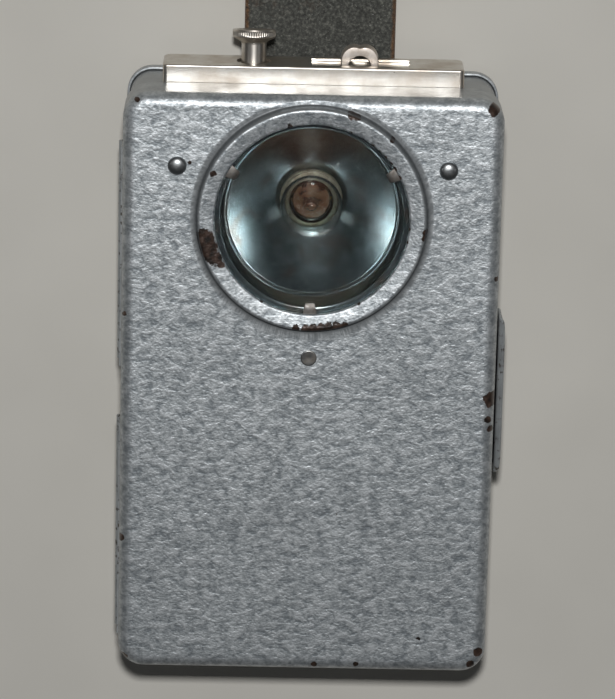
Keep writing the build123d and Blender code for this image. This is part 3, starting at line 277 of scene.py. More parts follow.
class Finish:
    """A material's nodes, added one by one."""

    def __init__(self, name):
        self.material = bpy.data.materials.new(name)
        self.material.use_nodes = True
        self.tree = self.material.node_tree
        self.shader = self.tree.nodes["Principled BSDF"]

    def add(self, kind, inputs=(), **settings):
        """A node with its settings, and its inputs as values or as other nodes' outputs."""
        node = self.tree.nodes.new(kind)
        for key, value in settings.items():
            setattr(node, key, value)
        for key, value in dict(inputs).items():
            self.feed(node.inputs[key], value)
        return node

    def feed(self, socket, value):
        """Links an output to a socket, or sets the socket's own value."""
        if isinstance(value, bpy.types.NodeSocket):
            self.tree.links.new(value, socket)
        else:
            socket.default_value = value

    def grain(self, size, detail=2.0, stretch=(1, 1, 1), distortion=0.0, rough=0.5):
        """Noise in blotches of about this size in millimetres, longer where stretch is more."""
        place = self.add("ShaderNodeTexCoord").outputs["Object"]
        scale = tuple(1 / part for part in stretch)
        place = self.add("ShaderNodeMapping", {"Vector": place, "Scale": scale}).outputs[0]
        return self.add("ShaderNodeTexNoise", {
            "Vector": place, "Scale": 1 / (size * MM), "Detail": detail,
            "Distortion": distortion, "Roughness": rough,
        }).outputs["Fac"]

    def ramp(self, factor, *stops):
        """Colours or numbers at places from 0 to 1, with straight blends between them."""
        node = self.add("ShaderNodeValToRGB", {"Fac": factor})
        points = node.color_ramp.elements
        for _ in stops[2:]:
            points.new(0.5)
        for point, (place, value) in zip(points, stops):
            point.position = place
            point.color = value if isinstance(value, tuple) else (value, value, value, 1.0)
        return node.outputs["Color"]

    def maths(self, operation, first, second=0.5):
        """One sum on two numbers."""
        return self.add("ShaderNodeMath", {0: first, 1: second}, operation=operation).outputs[0]

    def mix(self, factor, first, second, way="MIX"):
        """One colour over another, or multiplied by it."""
        node = self.add("ShaderNodeMix", data_type="RGBA", blend_type=way)
        self.feed(node.inputs[0], factor)
        self.feed(node.inputs[6], first)
        self.feed(node.inputs[7], second)
        return node.outputs[2]

    def mark(self, name):
        """A value that the mesh carries at each point."""
        return self.add("ShaderNodeAttribute", attribute_name=name).outputs["Fac"]

    def bumps(self, height, depth, strength=1.0, under=None):
        """Relief of a depth in millimetres, over another relief if one is given."""
        inputs = {"Height": height, "Distance": depth * MM, "Strength": strength}
        if under is not None:
            inputs["Normal"] = under
        return self.add("ShaderNodeBump", inputs).outputs[0]

    def set(self, **inputs):
        """Values or outputs for the shader's sockets, with _ for each space in their names."""
        for key, value in inputs.items():
            self.feed(self.shader.inputs[key.replace("_", " ")], value)
        return self.material


BARE_METALLIC = level(130, 130, 130)
BARE_ROUGHNESS = level(150, 150, 150)


def hammertone_paint():
    """Silver-grey hammertone: a wrinkled net of bright flake over dark, chipped to brown steel."""
    made = Finish("hammertone_paint")
    face = made.mark("face")
    fine = made.grain(0.5, detail=3, stretch=(1.1, 0.95, 1), distortion=0.2, rough=0.6)
    flow = made.grain(1.7, detail=2, stretch=(1.2, 0.85, 1), distortion=0.5, rough=0.55)
    fine_share, flow_share = 0.45, 0.55
    blend = made.maths(
        "ADD", made.maths("MULTIPLY", fine, fine_share), made.maths("MULTIPLY", flow, flow_share),
    )
    speckle = made.ramp(
        blend, (0.38, level(150, 157, 162)), (0.5, level(200, 206, 209)), (0.6, level(240, 245, 248)),
    )
    paint = made.mix(face, level(150, 154, 156), speckle)
    cloud = made.ramp(made.grain(9.0, detail=3), (0.3, 0.92), (0.7, 1.0))
    shaded = made.mix(1.0, paint, cloud, "MULTIPLY")
    ragged = made.grain(0.9, detail=4, rough=0.65)
    worn = made.maths("ADD", made.mark("bare"), made.maths("MULTIPLY", ragged, 0.5))
    bare = made.ramp(worn, (0.72, 0.0), (0.76, 1.0))
    speck = made.ramp(made.grain(1.6, detail=4, rough=0.75), (0.735, 0.0), (0.755, 1.0))
    bare = made.maths("MAXIMUM", bare, speck)
    rust = made.grain(1.2, detail=4)
    brown_steel = made.ramp(
        rust, (0.35, level(40, 34, 30)), (0.55, level(70, 54, 46)), (0.7, level(96, 80, 72)),
    )
    colour = made.mix(bare, shaded, brown_steel)
    net_depth, paint_thickness = 0.3, 0.03
    relief = made.bumps(blend, net_depth, made.maths("MULTIPLY", face, 0.62))
    relief = made.bumps(made.maths("SUBTRACT", 1.0, bare), paint_thickness, under=relief)
    gloss = made.ramp(blend, (0.35, 0.54), (0.65, 0.44))
    # painted shade, with some grime: the groove at the collar's foot is darkened towards dark grey
    colour = made.mix(made.maths("MULTIPLY", made.mark("painted_shade_and_grime"), 0.6), colour, level(58, 61, 63))
    flake = made.ramp(face, (0.2, 0.45), (0.9, 0.85))
    return made.set(
        Base_Color=colour, Metallic=made.mix(bare, flake, BARE_METALLIC),
        Roughness=made.mix(bare, gloss, BARE_ROUGHNESS),
        Normal=relief, Coat_Weight=0.35, Coat_Roughness=0.22,
    )


def plain_paint():
    """The same grey paint where it is smooth: on the hinge and the latch, with dark, rubbed spots."""
    made = Finish("dark_paint")
    worn = made.ramp(made.grain(1.3, detail=4, rough=0.7), (0.56, 0.0), (0.64, 1.0))
    tone = made.ramp(made.grain(4.0), (0.3, level(140, 144, 145)), (0.7, level(166, 170, 171)))
    colour = made.mix(worn, tone, level(66, 58, 50))
    relief = made.bumps(made.grain(0.7, detail=3), 0.04, 0.6)
    return made.set(
        Base_Color=colour, Metallic=0.15, Roughness=made.ramp(worn, (0.0, 0.36), (1.0, 0.62)),
        Normal=relief, Coat_Weight=0.2, Coat_Roughness=0.25,
    )


def bright_metal(name, light, dull, gloss, matt, spots, size=2.2, depth=0.012):
    """Plated or drawn metal: bright, with dull clouds, fine scratches and small dark spots."""
    made = Finish(name)
    cloud = made.ramp(made.grain(size, detail=4, rough=0.6), (0.38, 0.0), (0.66, 1.0))
    spot = made.ramp(made.grain(0.5, detail=3, rough=0.7), (spots, 0.0), (spots + 0.04, 1.0))
    colour = made.mix(spot, made.mix(cloud, light, dull), level(58, 48, 40))
    scratches = made.grain(0.16, detail=2, stretch=(9, 1, 1))
    relief = made.bumps(scratches, depth, 0.5)
    rough = made.ramp(made.maths("MAXIMUM", cloud, spot), (0.0, gloss), (1.0, matt))
    return made.set(Base_Color=colour, Metallic=1.0, Roughness=rough, Normal=relief)


def spun_mirror():
    """The reflector: polished and silvered, with faint spinning rings, haze and brown tarnish."""
    made = Finish("mirror")
    haze = made.ramp(made.grain(2.4, detail=5, rough=0.65), (0.45, 0.0), (0.75, 1.0))
    tarnish = made.ramp(made.grain(5.0, detail=4, distortion=0.6), (0.54, 0.0), (0.78, 1.0))
    colour = made.mix(tarnish, level(172, 180, 185), level(146, 120, 106))
    rings_per_mm = 9.0
    ring = made.maths("MULTIPLY", made.mark("ring"), rings_per_mm)
    ring = made.maths("SINE", made.maths("MULTIPLY", ring, 2 * pi))
    relief = made.bumps(ring, 0.003, 0.35)
    relief = made.bumps(made.grain(1.2, detail=3), 0.01, 0.3, relief)
    rough = made.ramp(made.maths("MAXIMUM", haze, tarnish), (0.0, 0.13), (1.0, 0.22))
    return made.set(Base_Color=colour, Metallic=1.0, Roughness=rough, Normal=relief)


def clear_glass(name, tint, gloss, smudge):
    """Clear glass with faint smudges that dull it. Rays towards a lamp pass straight through it."""
    made = Finish(name)
    smear = made.ramp(made.grain(3.0, detail=5, rough=0.7), (0.5, gloss), (0.75, smudge))
    made.set(
        Base_Color=made.ramp(made.grain(6.0), (0.2, tint), (0.8, level(250, 252, 252))),
        Roughness=smear, Transmission_Weight=1.0, IOR=1.47,
    )
    to_lamp = made.add("ShaderNodeLightPath").outputs["Is Shadow Ray"]
    clear = made.add("ShaderNodeBsdfTransparent", {"Color": level(240, 244, 243)}).outputs[0]
    both = made.add("ShaderNodeMixShader", {0: to_lamp, 1: made.shader.outputs[0], 2: clear})
    made.feed(made.tree.nodes["Material Output"].inputs["Surface"], both.outputs[0])
    return made.material


def brown_bead():
    """The bulb's inner stem: amber-brown glass and cement, streaked."""
    made = Finish("bulb_bead")
    streak = made.grain(2.2, detail=4, stretch=(1, 1, 3))
    colour = made.ramp(
        streak, (0.35, level(66, 32, 20)), (0.52, level(88, 60, 44)), (0.68, level(104, 92, 84)),
    )
    relief = made.bumps(streak, 0.04, 0.5)
    return made.set(
        Base_Color=colour, Roughness=0.22, Metallic=0.25, Normal=relief,
        Coat_Weight=0.8, Coat_Roughness=0.05,
    )


def board(name, light, dark, size, depth, rough, stretch=(1, 1, 1)):
    """Card, fibre or pitch: a mottled surface with short fibres."""
    made = Finish(name)
    fibre = made.grain(size, detail=5, stretch=stretch, rough=0.65)
    mottle = made.grain(size * 6, detail=2)
    blend = made.maths("ADD", made.maths("MULTIPLY", fibre, 0.6), made.maths("MULTIPLY", mottle, 0.4))
    colour = made.ramp(blend, (0.35, dark), (0.65, light))
    return made.set(
        Base_Color=colour, Roughness=made.ramp(fibre, (0.3, rough), (0.7, rough + 0.15)),
        Normal=made.bumps(fibre, depth, 0.7),
    )


def leather():
    """Worn dark grey leather: a coarse grain with painted highlights as pale specks on it, rubbed brown
    along its edges.
    """
    made = Finish("leather")
    pebble = made.grain(0.55, detail=4, distortion=0.3, rough=0.65)
    cells = made.add("ShaderNodeTexVoronoi", {
        "Vector": made.add("ShaderNodeTexCoord").outputs["Object"], "Scale": 1 / (0.6 * MM),
    }, feature="DISTANCE_TO_EDGE").outputs["Distance"]
    crease = made.ramp(cells, (0.0, 0.0), (0.22, 1.0))
    grey = made.ramp(
        pebble, (0.34, level(46, 46, 42)), (0.52, level(74, 75, 70)), (0.7, level(118, 118, 110)),
    )
    patch = made.ramp(made.grain(7.0, detail=4, rough=0.7), (0.6, 0.0), (0.78, 0.65))
    grey = made.mix(patch, grey, level(78, 54, 34))
    ragged = made.maths("MULTIPLY", made.grain(1.4, detail=4), 0.55)
    rub = made.maths("ADD", made.mark("edge"), ragged)
    edge = made.ramp(rub, (0.7, 0.0), (1.0, 1.0))
    brown = made.ramp(pebble, (0.35, level(50, 34, 22)), (0.65, level(122, 88, 56)))
    # painted highlights: tiny near-white specks in the colour, which are also made glossier
    painted_glint = made.ramp(made.grain(0.22, detail=1), (0.76, 0.0), (0.79, 1.0))
    colour = made.mix(painted_glint, made.mix(edge, grey, brown), level(214, 214, 208))
    relief = made.bumps(crease, 0.1, 0.5)
    relief = made.bumps(pebble, 0.2, 0.9, relief)
    return made.set(
        Base_Color=colour, Roughness=made.ramp(painted_glint, (0.0, 0.72), (1.0, 0.3)), Normal=relief,
        Sheen_Weight=0.15, Sheen_Roughness=0.5,
    )


hammertone = hammertone_paint()
dark_paint = plain_paint()
nickel = bright_metal(
    "nickel_plate", level(214, 210, 203), level(196, 186, 174), 0.3, 0.42, 0.74, 5.0, 0.003,
)
worn_nickel = bright_metal(
    "worn_nickel", level(222, 214, 206), level(196, 184, 172), 0.42, 0.56, 0.7, 1.2, 0.006,
)
steel = bright_metal("steel", level(178, 180, 180), level(132, 128, 122), 0.26, 0.5, 0.68)
rivet_grey = bright_metal("rivet_grey", level(186, 190, 192), level(150, 152, 152), 0.3, 0.44, 0.7, 0.8)
claw_metal = bright_metal(
    "claw_metal", level(146, 143, 139), level(124, 118, 112), 0.45, 0.6, 0.72, 0.9,
)
brass = bright_metal("brass", level(214, 178, 104), level(156, 118, 66), 0.28, 0.5, 0.68)
dull_brass = bright_metal("dull_brass", level(112, 106, 96), level(80, 70, 60), 0.35, 0.55, 0.66, 1.2)
zinc = bright_metal("zinc", level(150, 156, 162), level(112, 116, 120), 0.42, 0.62, 0.66, 3.0, 0.03)
mirror = spun_mirror()
window_glass = clear_glass("glass", level(238, 246, 244), 0.02, 0.1)
globe_glass = clear_glass("globe_glass", level(240, 244, 240), 0.01, 0.04)
bead_brown = brown_bead()
fibre = board("fibre", level(132, 74, 48), level(84, 42, 28), 0.4, 0.05, 0.5, (4, 1, 1))
black_glass = board("black_glass", level(34, 32, 34), level(14, 13, 15), 0.8, 0.02, 0.12)
card = board("card", level(176, 152, 116), level(140, 114, 80), 0.35, 0.06, 0.8, (3, 1, 1))
wrapper = board("wrapper", level(58, 84, 106), level(40, 62, 84), 0.5, 0.04, 0.55, (1, 4, 1))
pitch = board("pitch", level(30, 28, 26), level(12, 11, 10), 1.8, 0.25, 0.3)
hide = leather()


# ---- Front cover ----
# a chip's place across and along, and its size
EDGE_CHIPS = (
    (32.9, 54.0, 1.1), (34.3, -1.2, 1.5), (33.8, -5.2, 0.7), (34.3, -7.0, 0.6), (-32.4, 54.6, 0.5),
    (-2.6, -1.2, 0.42), (14.5, -50.4, 0.4), (22.1, -49.2, 0.55), (2.4, -54.6, 0.6), (10.4, -54.4, 0.6),
    (-22.6, 43.1, 0.35), (33.6, -51.5, 0.9), (32.2, -54.0, 0.8), (34.4, 22.0, 0.5), (-34.4, 14.0, 0.5),
    (6.0, -24.0, 0.3), (-33.9, -53.8, 0.8), (-34.6, -30.0, 0.7),
)
# a chip's angle round the lens in degrees, its radius, and its size
COLLAR_CHIPS = (
    (-169, 20.0, 1.9), (-163, 19.8, 1.9), (-157, 19.3, 1.4), (-152, 18.8, 0.8), (-72, 21.0, 0.8),
    (-76, 20.8, 0.95), (-80, 20.7, 1.0), (-84, 20.7, 1.0), (-88, 20.7, 1.0), (-92, 20.8, 0.85),
    (-97, 20.8, 0.7), (155, 20.0, 0.75), (151, 19.7, 0.5), (71, 21.1, 0.8), (68, 21.2, 0.6),
    (47, 21.1, 0.5), (-5, 21.0, 0.6), (-8, 20.9, 0.5), (104, 18.0, 0.55), (68, 17.9, 0.4),
    (60, 17.8, 0.35), (53, 17.8, 0.4), (48, 17.8, 0.45), (43, 17.8, 0.45), (38, 17.8, 0.5),
    (34, 17.8, 0.55), (28, 17.8, 0.5), (-4, 17.9, 0.4), (-12, 18.0, 0.3), (-120, 17.9, 0.35),
    (178, 19.2, 0.35), (-60, 18.0, 0.3),
)


def bareness(x, y):
    """How far the paint is gone: from 1 in the middle of a chip evenly to 0 at twice its size."""
    gone = np.zeros_like(x)
    from_lens = np.hypot(x - LENS[0], y - LENS[1])
    for chip_x, chip_y, size in EDGE_CHIPS:
        gone = np.maximum(gone, 1.0 - np.hypot(x - chip_x, y - chip_y) / (2 * size))
    on_collar = np.clip((COLLAR_RADIUS + 0.45 - from_lens) / 0.3, 0, 1)
    for degrees, radius, size in COLLAR_CHIPS:
        turn = radians(degrees)
        chip_x, chip_y = LENS[0] + radius * np.cos(turn), LENS[1] + radius * np.sin(turn)
        chip = 1.0 - np.hypot(x - chip_x, y - chip_y) / (2 * size)
        gone = np.maximum(gone, on_collar * chip)
    return gone


def cover_rows():
    """The cover's rows, from the collar's lip outwards over the face and the wall, and back inside.

    Round the lens a row is a circle, its points at the angles of the outline's stations. Over the
    face each point goes in a straight line from circle to outline. Over the edge a row stands in from
    the outline by the edge's radius times 1 - sin a, and down by it times 1 - cos a, while the angle
    a goes from 0 to 90 degrees.
    """
    places, facings = outline(WIDTH, LENGTH, CORNER)

    def outlined(inset, z):
        flat = places + facings * (CORNER - inset)
        return np.column_stack([flat, np.broadcast_to(z, len(flat))])

    flat_edge = outlined(EDGE_RADIUS, FACE_Z)
    angle = np.arctan2(flat_edge[:, 1] - LENS[1], flat_edge[:, 0] - LENS[0])
    around = np.column_stack([np.cos(angle), np.sin(angle)])

    def circles(profile):
        flat = LENS[:2] + profile[:, 0, None, None] * around
        height = np.broadcast_to(FACE_Z + profile[:, 1, None, None], (*flat.shape[:2], 1))
        return np.concatenate([flat, height], -1)

    def between(inner, outer, shares):
        share = shares[:, None, None]
        return inner * (1 - share) + outer * share

    crest = cover_high[2] - FACE_Z
    outer = bent(
        [(LIP_RADIUS, 1.05), (LIP_RADIUS + 0.1, crest - 0.42), (COLLAR_RADIUS - 0.25, crest + 0.05),
         (COLLAR_RADIUS, 0.0), (COLLAR_RADIUS + 2 * COLLAR_FOOT, 0.0)],
        (0.0, 0.38, 0.75, COLLAR_FOOT, 0.0), steps=9,
    )
    inner = bent(
        [(COLLAR_RADIUS + COLLAR_FOOT, -SHEET), (COLLAR_RADIUS - SHEET, -SHEET),
         (COLLAR_RADIUS - 0.3 - SHEET, crest - SHEET), (LIP_RADIUS + SHEET, crest - 2 * SHEET),
         (LIP_RADIUS + 0.4, 1.05), (LIP_RADIUS, 1.05)],
        (0.0, 0.3, 0.4, 0.2, 0.1, 0.0), steps=3,
    )

    def rounded(inset, radius, angles):
        return np.stack([
            outlined(inset + radius * (1 - np.sin(a)), FACE_Z - inset - radius * (1 - np.cos(a)))
            for a in angles
        ])

    quarter = np.linspace(0, pi / 2, 10)
    edge = rounded(0.0, EDGE_RADIUS, quarter)
    inner_edge = rounded(SHEET, EDGE_RADIUS - SHEET, quarter[::-3])

    beside = np.abs(places[:, 1] - HINGE_MIDDLE)
    hinge_reach = (hinge_high[1] - hinge_low[1]) / 2
    notched = (facings[:, 0] < -0.99) & (beside > HINGE_GAP / 2) & (beside < hinge_reach)
    rim_z = np.where(notched, SEAM_Z + NOTCH_RISE, SEAM_Z)
    wall_end, inner_end = outlined(0.1, rim_z), outlined(SHEET - 0.1, rim_z)
    wall_low = outlined(0.0, rim_z + 0.1)
    inner_low = outlined(SHEET, rim_z + 0.1)
    collar = circles(outer)
    face = between(collar[-1], edge[0], np.linspace(0, 1, 62)[1:-1] ** 0.9)
    wall = between(edge[-1], wall_low, np.linspace(0, 1, 9)[1:])
    inside = between(inner_low, inner_edge[0], np.linspace(0, 1, 4)[:-1])
    inner_collar = circles(inner)
    ceiling = between(inner_edge[-1], inner_collar[0], np.linspace(0, 1, 8)[1:-1])
    rows = np.concatenate([
        collar, face, edge, wall, wall_end[None], inner_end[None],
        inside, inner_edge, ceiling, inner_collar,
    ])
    return rows, *np.cumsum([len(collar), len(face), len(edge)])


def front_cover():
    """The cover, very slightly uneven over its face, with painted shade and some grime darkening the
    collar's foot.

    The face mark is 1 where the hammertone's net is strongest, and low where the paint is plain.
    """
    rows, collar_end, face_end, edge_end = cover_rows()
    x, y = rows[..., 0], rows[..., 1]
    hold = np.zeros(len(rows))
    hold[collar_end:face_end] = np.sin(np.linspace(0, pi, face_end - collar_end)) ** 0.5
    rows[..., 2] += hold[:, None] * ripples(x, y, (46, 27, 13), (0.05, 0.025, 0.01))
    foot_start, foot_end = collar_end * 3 // 5 - 6, collar_end - 4
    face_mark = np.full(len(rows), 0.12)
    face_mark[:foot_start] = 0.9
    face_mark[foot_start:collar_end] = 0.25
    face_mark[collar_end:face_end] = 1.0
    face_mark[face_end:edge_end] = np.linspace(0.9, 0.25, edge_end - face_end)
    # painted shade, with some grime, along the collar's foot: strongest midway between its rows, fading
    # to both ends
    painted_shade_and_grime = np.zeros(len(rows))
    painted_shade_and_grime[foot_start:foot_end] = np.sin(np.linspace(0, pi, foot_end - foot_start)) ** 0.4
    bare = bareness(x, y)
    bare[edge_end:] *= 0.6
    marks = {"face": [face_mark[:, None]], "bare": [bare], "painted_shade_and_grime": [painted_shade_and_grime[:, None]]}
    make_piece("front_shell", [rows], hammertone, ["front_cover"], "cover",
               marks=marks)


# ---- Back ----
def back_tray():
    """The back plate: a closed skin from the middle of its underside, over its rim and back in."""
    places, facings = outline(WIDTH, LENGTH, CORNER)
    low, high = back_low[2], back_high[2]
    quarter = np.linspace(0, pi / 2, 8)
    inner_radius = BACK_RADIUS - SHEET
    profile = [(BACK_RADIUS * (1 - np.sin(a)), low + BACK_RADIUS * (1 - np.cos(a))) for a in quarter]
    profile += [
        (0.0, high - 0.2), (0.06, high - 0.06), (0.2, high), (SHEET - 0.15, high), (SHEET, high - 0.15),
    ]
    profile += [(SHEET + inner_radius * (1 - np.sin(a)), low + SHEET + inner_radius * (1 - np.cos(a)))
                for a in quarter[::-2]]
    rows = [np.column_stack([places + facings * (CORNER - inset), np.full(len(places), z)])
            for inset, z in profile]
    shares = np.array([0.0, 0.3, 0.6, 0.85, 0.97])[:, None, None]
    under = rows[0] * [1, 1, 0] * shares + [0, 0, low]
    floor = rows[-1] * [1, 1, 0] * shares[::-1] + [0, 0, low + SHEET]
    grid = np.concatenate([under, np.stack(rows), floor])
    x, y = grid[..., 0], grid[..., 1]
    bare = np.clip(ripples(x, y, (17, 9, 5), (0.25, 0.2, 0.15)) + 0.05, 0, 1)
    marks = {"face": [np.full(grid.shape[:2], 0.35)], "bare": [bare]}
    make_piece("back_tray", [grid], hammertone, ["back_plate"], "case", marks=marks)


def along_lens(profile, around=160, swell=0.0):
    """A turned piece about the lens, its heights measured from the face."""
    return turned(profile, (LENS[0], LENS[1], FACE_Z), around, swell=swell)


def from_face(low, high):
    """The heights of a node's lowest and highest corners, measured from the face."""
    return low[2] - FACE_Z, high[2] - FACE_Z


# ---- Window ----
def window():
    """The glass, the claws that hold it, and the ring that they belong to."""
    back = glass_low[2] - FACE_Z
    glass = bent([
        (0.0, back), (GLASS_RADIUS, back), (GLASS_RADIUS, GLASS_PROUD), (0.0, GLASS_PROUD),
    ], (0, 0.15, 0.15, 0))
    make_piece("window_glass", [along_lens(glass)], window_glass, ["lens_glass"], "cover")
    wall, thickness, inside = GLASS_RADIUS + 0.18, 0.35, 17.9
    rim_top, rim_back = GLASS_PROUD - 0.1, back - 0.4
    ring = bent([
        (GLASS_RADIUS, rim_back), (GLASS_RADIUS, rim_top), (wall + 0.17, rim_top),
        (wall + 0.17, rim_back - thickness), (inside, rim_back - thickness), (inside, rim_back),
    ], 0.05, steps=2, closed=True)
    grids = [along_lens(ring)]
    top = GLASS_PROUD + thickness / 2 + 0.01
    claw_bend, claw_tip = 17.2, 15.9
    run = bent([
        (wall, GLASS_PROUD - 0.6), (wall, top), (claw_bend, top + 0.05), (claw_tip, top),
    ], (0, 0.3, 0.2, 0), 5)
    for degrees in CLAW_ANGLES:
        turn = radians(degrees)
        way = np.array([np.cos(turn), np.sin(turn), 0])
        path = LENS * [1, 1, 0] + [0, 0, FACE_Z] + run[:, :1] * way + run[:, 1:] * [0, 0, 1]
        width = 3.0 - 1.2 * (wall - run[:, 0]) / (wall - claw_tip)
        grids.append(carried(path, (-way[1], way[0], 0), width, thickness, 0.12))
    make_piece("claw_ring", grids, claw_metal, ["glass_retainer"], "cover")


def reflector():
    """The reflector: rim, tapered wall, a rolled crease and a bowl.

    At radius r the bowl's depth is its middle's depth less r * r / (4 f), f being the focal length.
    """
    rim_top = glass_low[2] - FACE_Z - 0.03
    wall_radius, bowl_radius, bowl_depth, vertex, sheet = 17.0, 16.0, 6.0, 16.5, 0.4
    neck = (socket_high[0] - socket_low[0]) / 2 + 0.05
    four_f = bowl_radius ** 2 / (vertex - bowl_depth)
    radii = np.linspace(bowl_radius - 0.35, neck, 40)
    bowl = np.column_stack([radii, radii ** 2 / four_f - vertex])
    crease = np.array([
        (bowl_radius + 0.06, -bowl_depth + 0.35), (bowl_radius - 0.1, -bowl_depth + 0.12),
        (bowl_radius - 0.24, -bowl_depth + 0.06), (bowl_radius - 0.33, -bowl_depth - 0.1),
    ])
    wall = bent([(GLASS_RADIUS, rim_top), (wall_radius, rim_top), tuple(crease[0])], (0, 0.3, 0), 5)
    neck_end = -vertex - 1.5
    inner = np.vstack([wall[:-1], crease, bowl, [(neck, neck_end), (neck + sheet, neck_end)]])
    back_radii = np.linspace(neck + sheet, bowl_radius, 24)
    back = np.column_stack([back_radii, back_radii ** 2 / four_f - vertex - 1.25 * sheet])
    outer = np.vstack([back, [
        (bowl_radius + sheet, -bowl_depth - 0.2), (wall_radius + sheet, rim_top - sheet),
        (GLASS_RADIUS, rim_top - sheet), (GLASS_RADIUS, rim_top),
    ]])
    grid = along_lens(np.vstack([inner, outer]), 192)
    ring = np.hypot(grid[..., 0] - LENS[0], grid[..., 1] - LENS[1])
    make_piece("reflector_bowl", [grid], mirror, ["reflector"], "cover", sharp=50,
               marks={"ring": [ring]})


# ---- Bulb ----
GLOBE_RADIUS, GLOBE_DEPTH, NECK_RADIUS, GLOBE_WALL = 5.7, 9.3, 4.2, 0.4
BASE_RADIUS = 4.75
BASE_BOTTOM, BASE_EDGE = from_face(base_low, base_high)
BASE_SHELF = BASE_EDGE - 0.6


def globe_profile(inset):
    """From the globe's top round to its neck: a circle of its radius, then straight down."""
    radius, neck = GLOBE_RADIUS - inset, NECK_RADIUS - inset
    end = pi - np.arcsin(neck / radius)
    polar = np.linspace(0, end - 0.1, 40)
    ball = np.column_stack([radius * np.sin(polar), radius * np.cos(polar) - GLOBE_DEPTH])
    shoulder = bent([tuple(ball[-1]), (neck, ball[-1, 1] - 0.55), (neck, BASE_SHELF)], (0, 0.5, 0), 5)
    return np.vstack([ball, shoulder[1:]])


def bulb():
    """The bulb: globe, and stem with its bead, leads and filament."""
    profile = np.vstack([globe_profile(0.0), globe_profile(GLOBE_WALL)[::-1]])
    make_piece("globe", [along_lens(profile, 128)], globe_glass, ["bulb_globe"], "cover")
    bead_height = -GLOBE_DEPTH - 1.6
    stem = bent([
        (0, BASE_SHELF + 0.05), (3.7, BASE_SHELF + 0.05), (3.4, BASE_SHELF + 0.9),
        (1.5, BASE_SHELF + 1.7),
        (0.9, bead_height - 1.0), (1.35, bead_height), (0.9, bead_height + 0.9), (0, bead_height + 1.1),
    ], (0, 0.2, 0.7, 0.8, 0.5, 0.6, 0.6, 0), 5)
    middle = np.array([LENS[0], LENS[1], FACE_Z])
    filament_height, half_coil, coil_radius, coil_turns = -GLOBE_DEPTH + 0.8, 1.3, 0.16, 14
    turn = np.linspace(0, 2 * pi * coil_turns, 12 * coil_turns)
    coil = np.column_stack([
        np.linspace(-half_coil, half_coil, len(turn)), coil_radius * np.cos(turn),
        filament_height + coil_radius * np.sin(turn),
    ])
    grids = [along_lens(stem, 64), carried(middle + coil, (1, 0, 0), 0.07, 0.07, 0.03, 1)]
    for side in (-1, 1):
        lead = bent([
            (side * 0.8, 0, BASE_SHELF + 1.2), (side * 0.8, 0, bead_height),
            (side * 1.5, 0, filament_height - 0.2), (side * half_coil, 0, filament_height),
        ], (0, 0.5, 0.2, 0), 5)
        grids.append(carried(middle + lead, (0, 1, 0), 0.4, 0.4, 0.18))
    make_piece("bulb_stem", grids, bead_brown, ["bulb_mount"], "cover")


def screw_profile(radius, low, high, pitch, depth, angle_count):
    """Rolled screw thread, whose radius is less by depth / 2 * (1 - cos(2 pi height / pitch - angle)).

    The thread fades out at both ends.
    """
    height = np.linspace(low, high, 64)
    angle = np.linspace(0, 2 * pi, angle_count + 1)[None, :]
    fade = np.clip(np.minimum(height - low, high - height) / 0.8, 0, 1)[:, None]
    swell = depth * fade * (np.cos(2 * pi * height[:, None] / pitch - angle) - 1) / 2
    return np.column_stack([np.full(len(height), radius), height]), swell


def threaded_shell(name, outer, wall, low, high, edge, node, depth):
    """A thin screwed brass sleeve with a rolled outer face and a plain bore."""
    pitch, around = 1.6, 96
    thread, swell = screw_profile(outer, low, high, pitch, depth, around)
    rest = np.array(edge + [(outer - wall, high), (outer - wall, low), (outer, low)], float)
    profile = np.vstack([thread, rest])
    rings = np.concatenate([swell, np.zeros((len(rest), swell.shape[1]))])
    grid = along_lens(profile, around, rings)
    make_piece(name, [grid], dull_brass, [node], "cover", sharp=60)


def bulb_fittings():
    """The threaded base and its socket, the black insulator and the solder tip."""
    rim = bent([
        (BASE_RADIUS, BASE_SHELF), (5.25, BASE_SHELF), (5.3, BASE_EDGE), (4.3, BASE_EDGE),
        (4.25, BASE_SHELF - 0.2),
    ], (0, 0.1, 0.25, 0.2, 0), 4)
    threaded_shell("base_shell", BASE_RADIUS, 0.3, BASE_BOTTOM, BASE_SHELF, rim.tolist(),
                   "bulb_base", 0.25)
    low, high = from_face(socket_low, socket_high)
    socket_radius = (socket_high[0] - socket_low[0]) / 2
    threaded_shell("socket_sleeve", socket_radius, 0.55, low, high, [], "bulb_socket", 0.22)
    low, high = from_face(cone_low, cone_high)
    wide = (cone_high[0] - cone_low[0]) / 2
    cone = bent([
        (0, high), (wide, high), (wide - 0.2, high - 0.5), (1.7, low), (0, low),
    ], (0, 0.15, 0.6, 0.2, 0))
    make_piece("insulator", [along_lens(cone, 96)], black_glass, ["bulb_insulator"],
               "cover")
    low, high = from_face(tip_low, tip_high)
    tip = bent([(0, high), (1.5, high), (1.35, low), (0, low)], (0, 0.1, 0.7, 0))
    make_piece("solder_tip", [along_lens(tip, 64)], zinc, ["bulb_tip"], "cover")


# ---- Rivets ----
def on_rivet_circle(degrees):
    """A place on the circle of the face rivets."""
    turn = radians(degrees)
    return LENS[0] + RIVET_CIRCLE * np.cos(turn), LENS[1] + RIVET_CIRCLE * np.sin(turn), FACE_Z


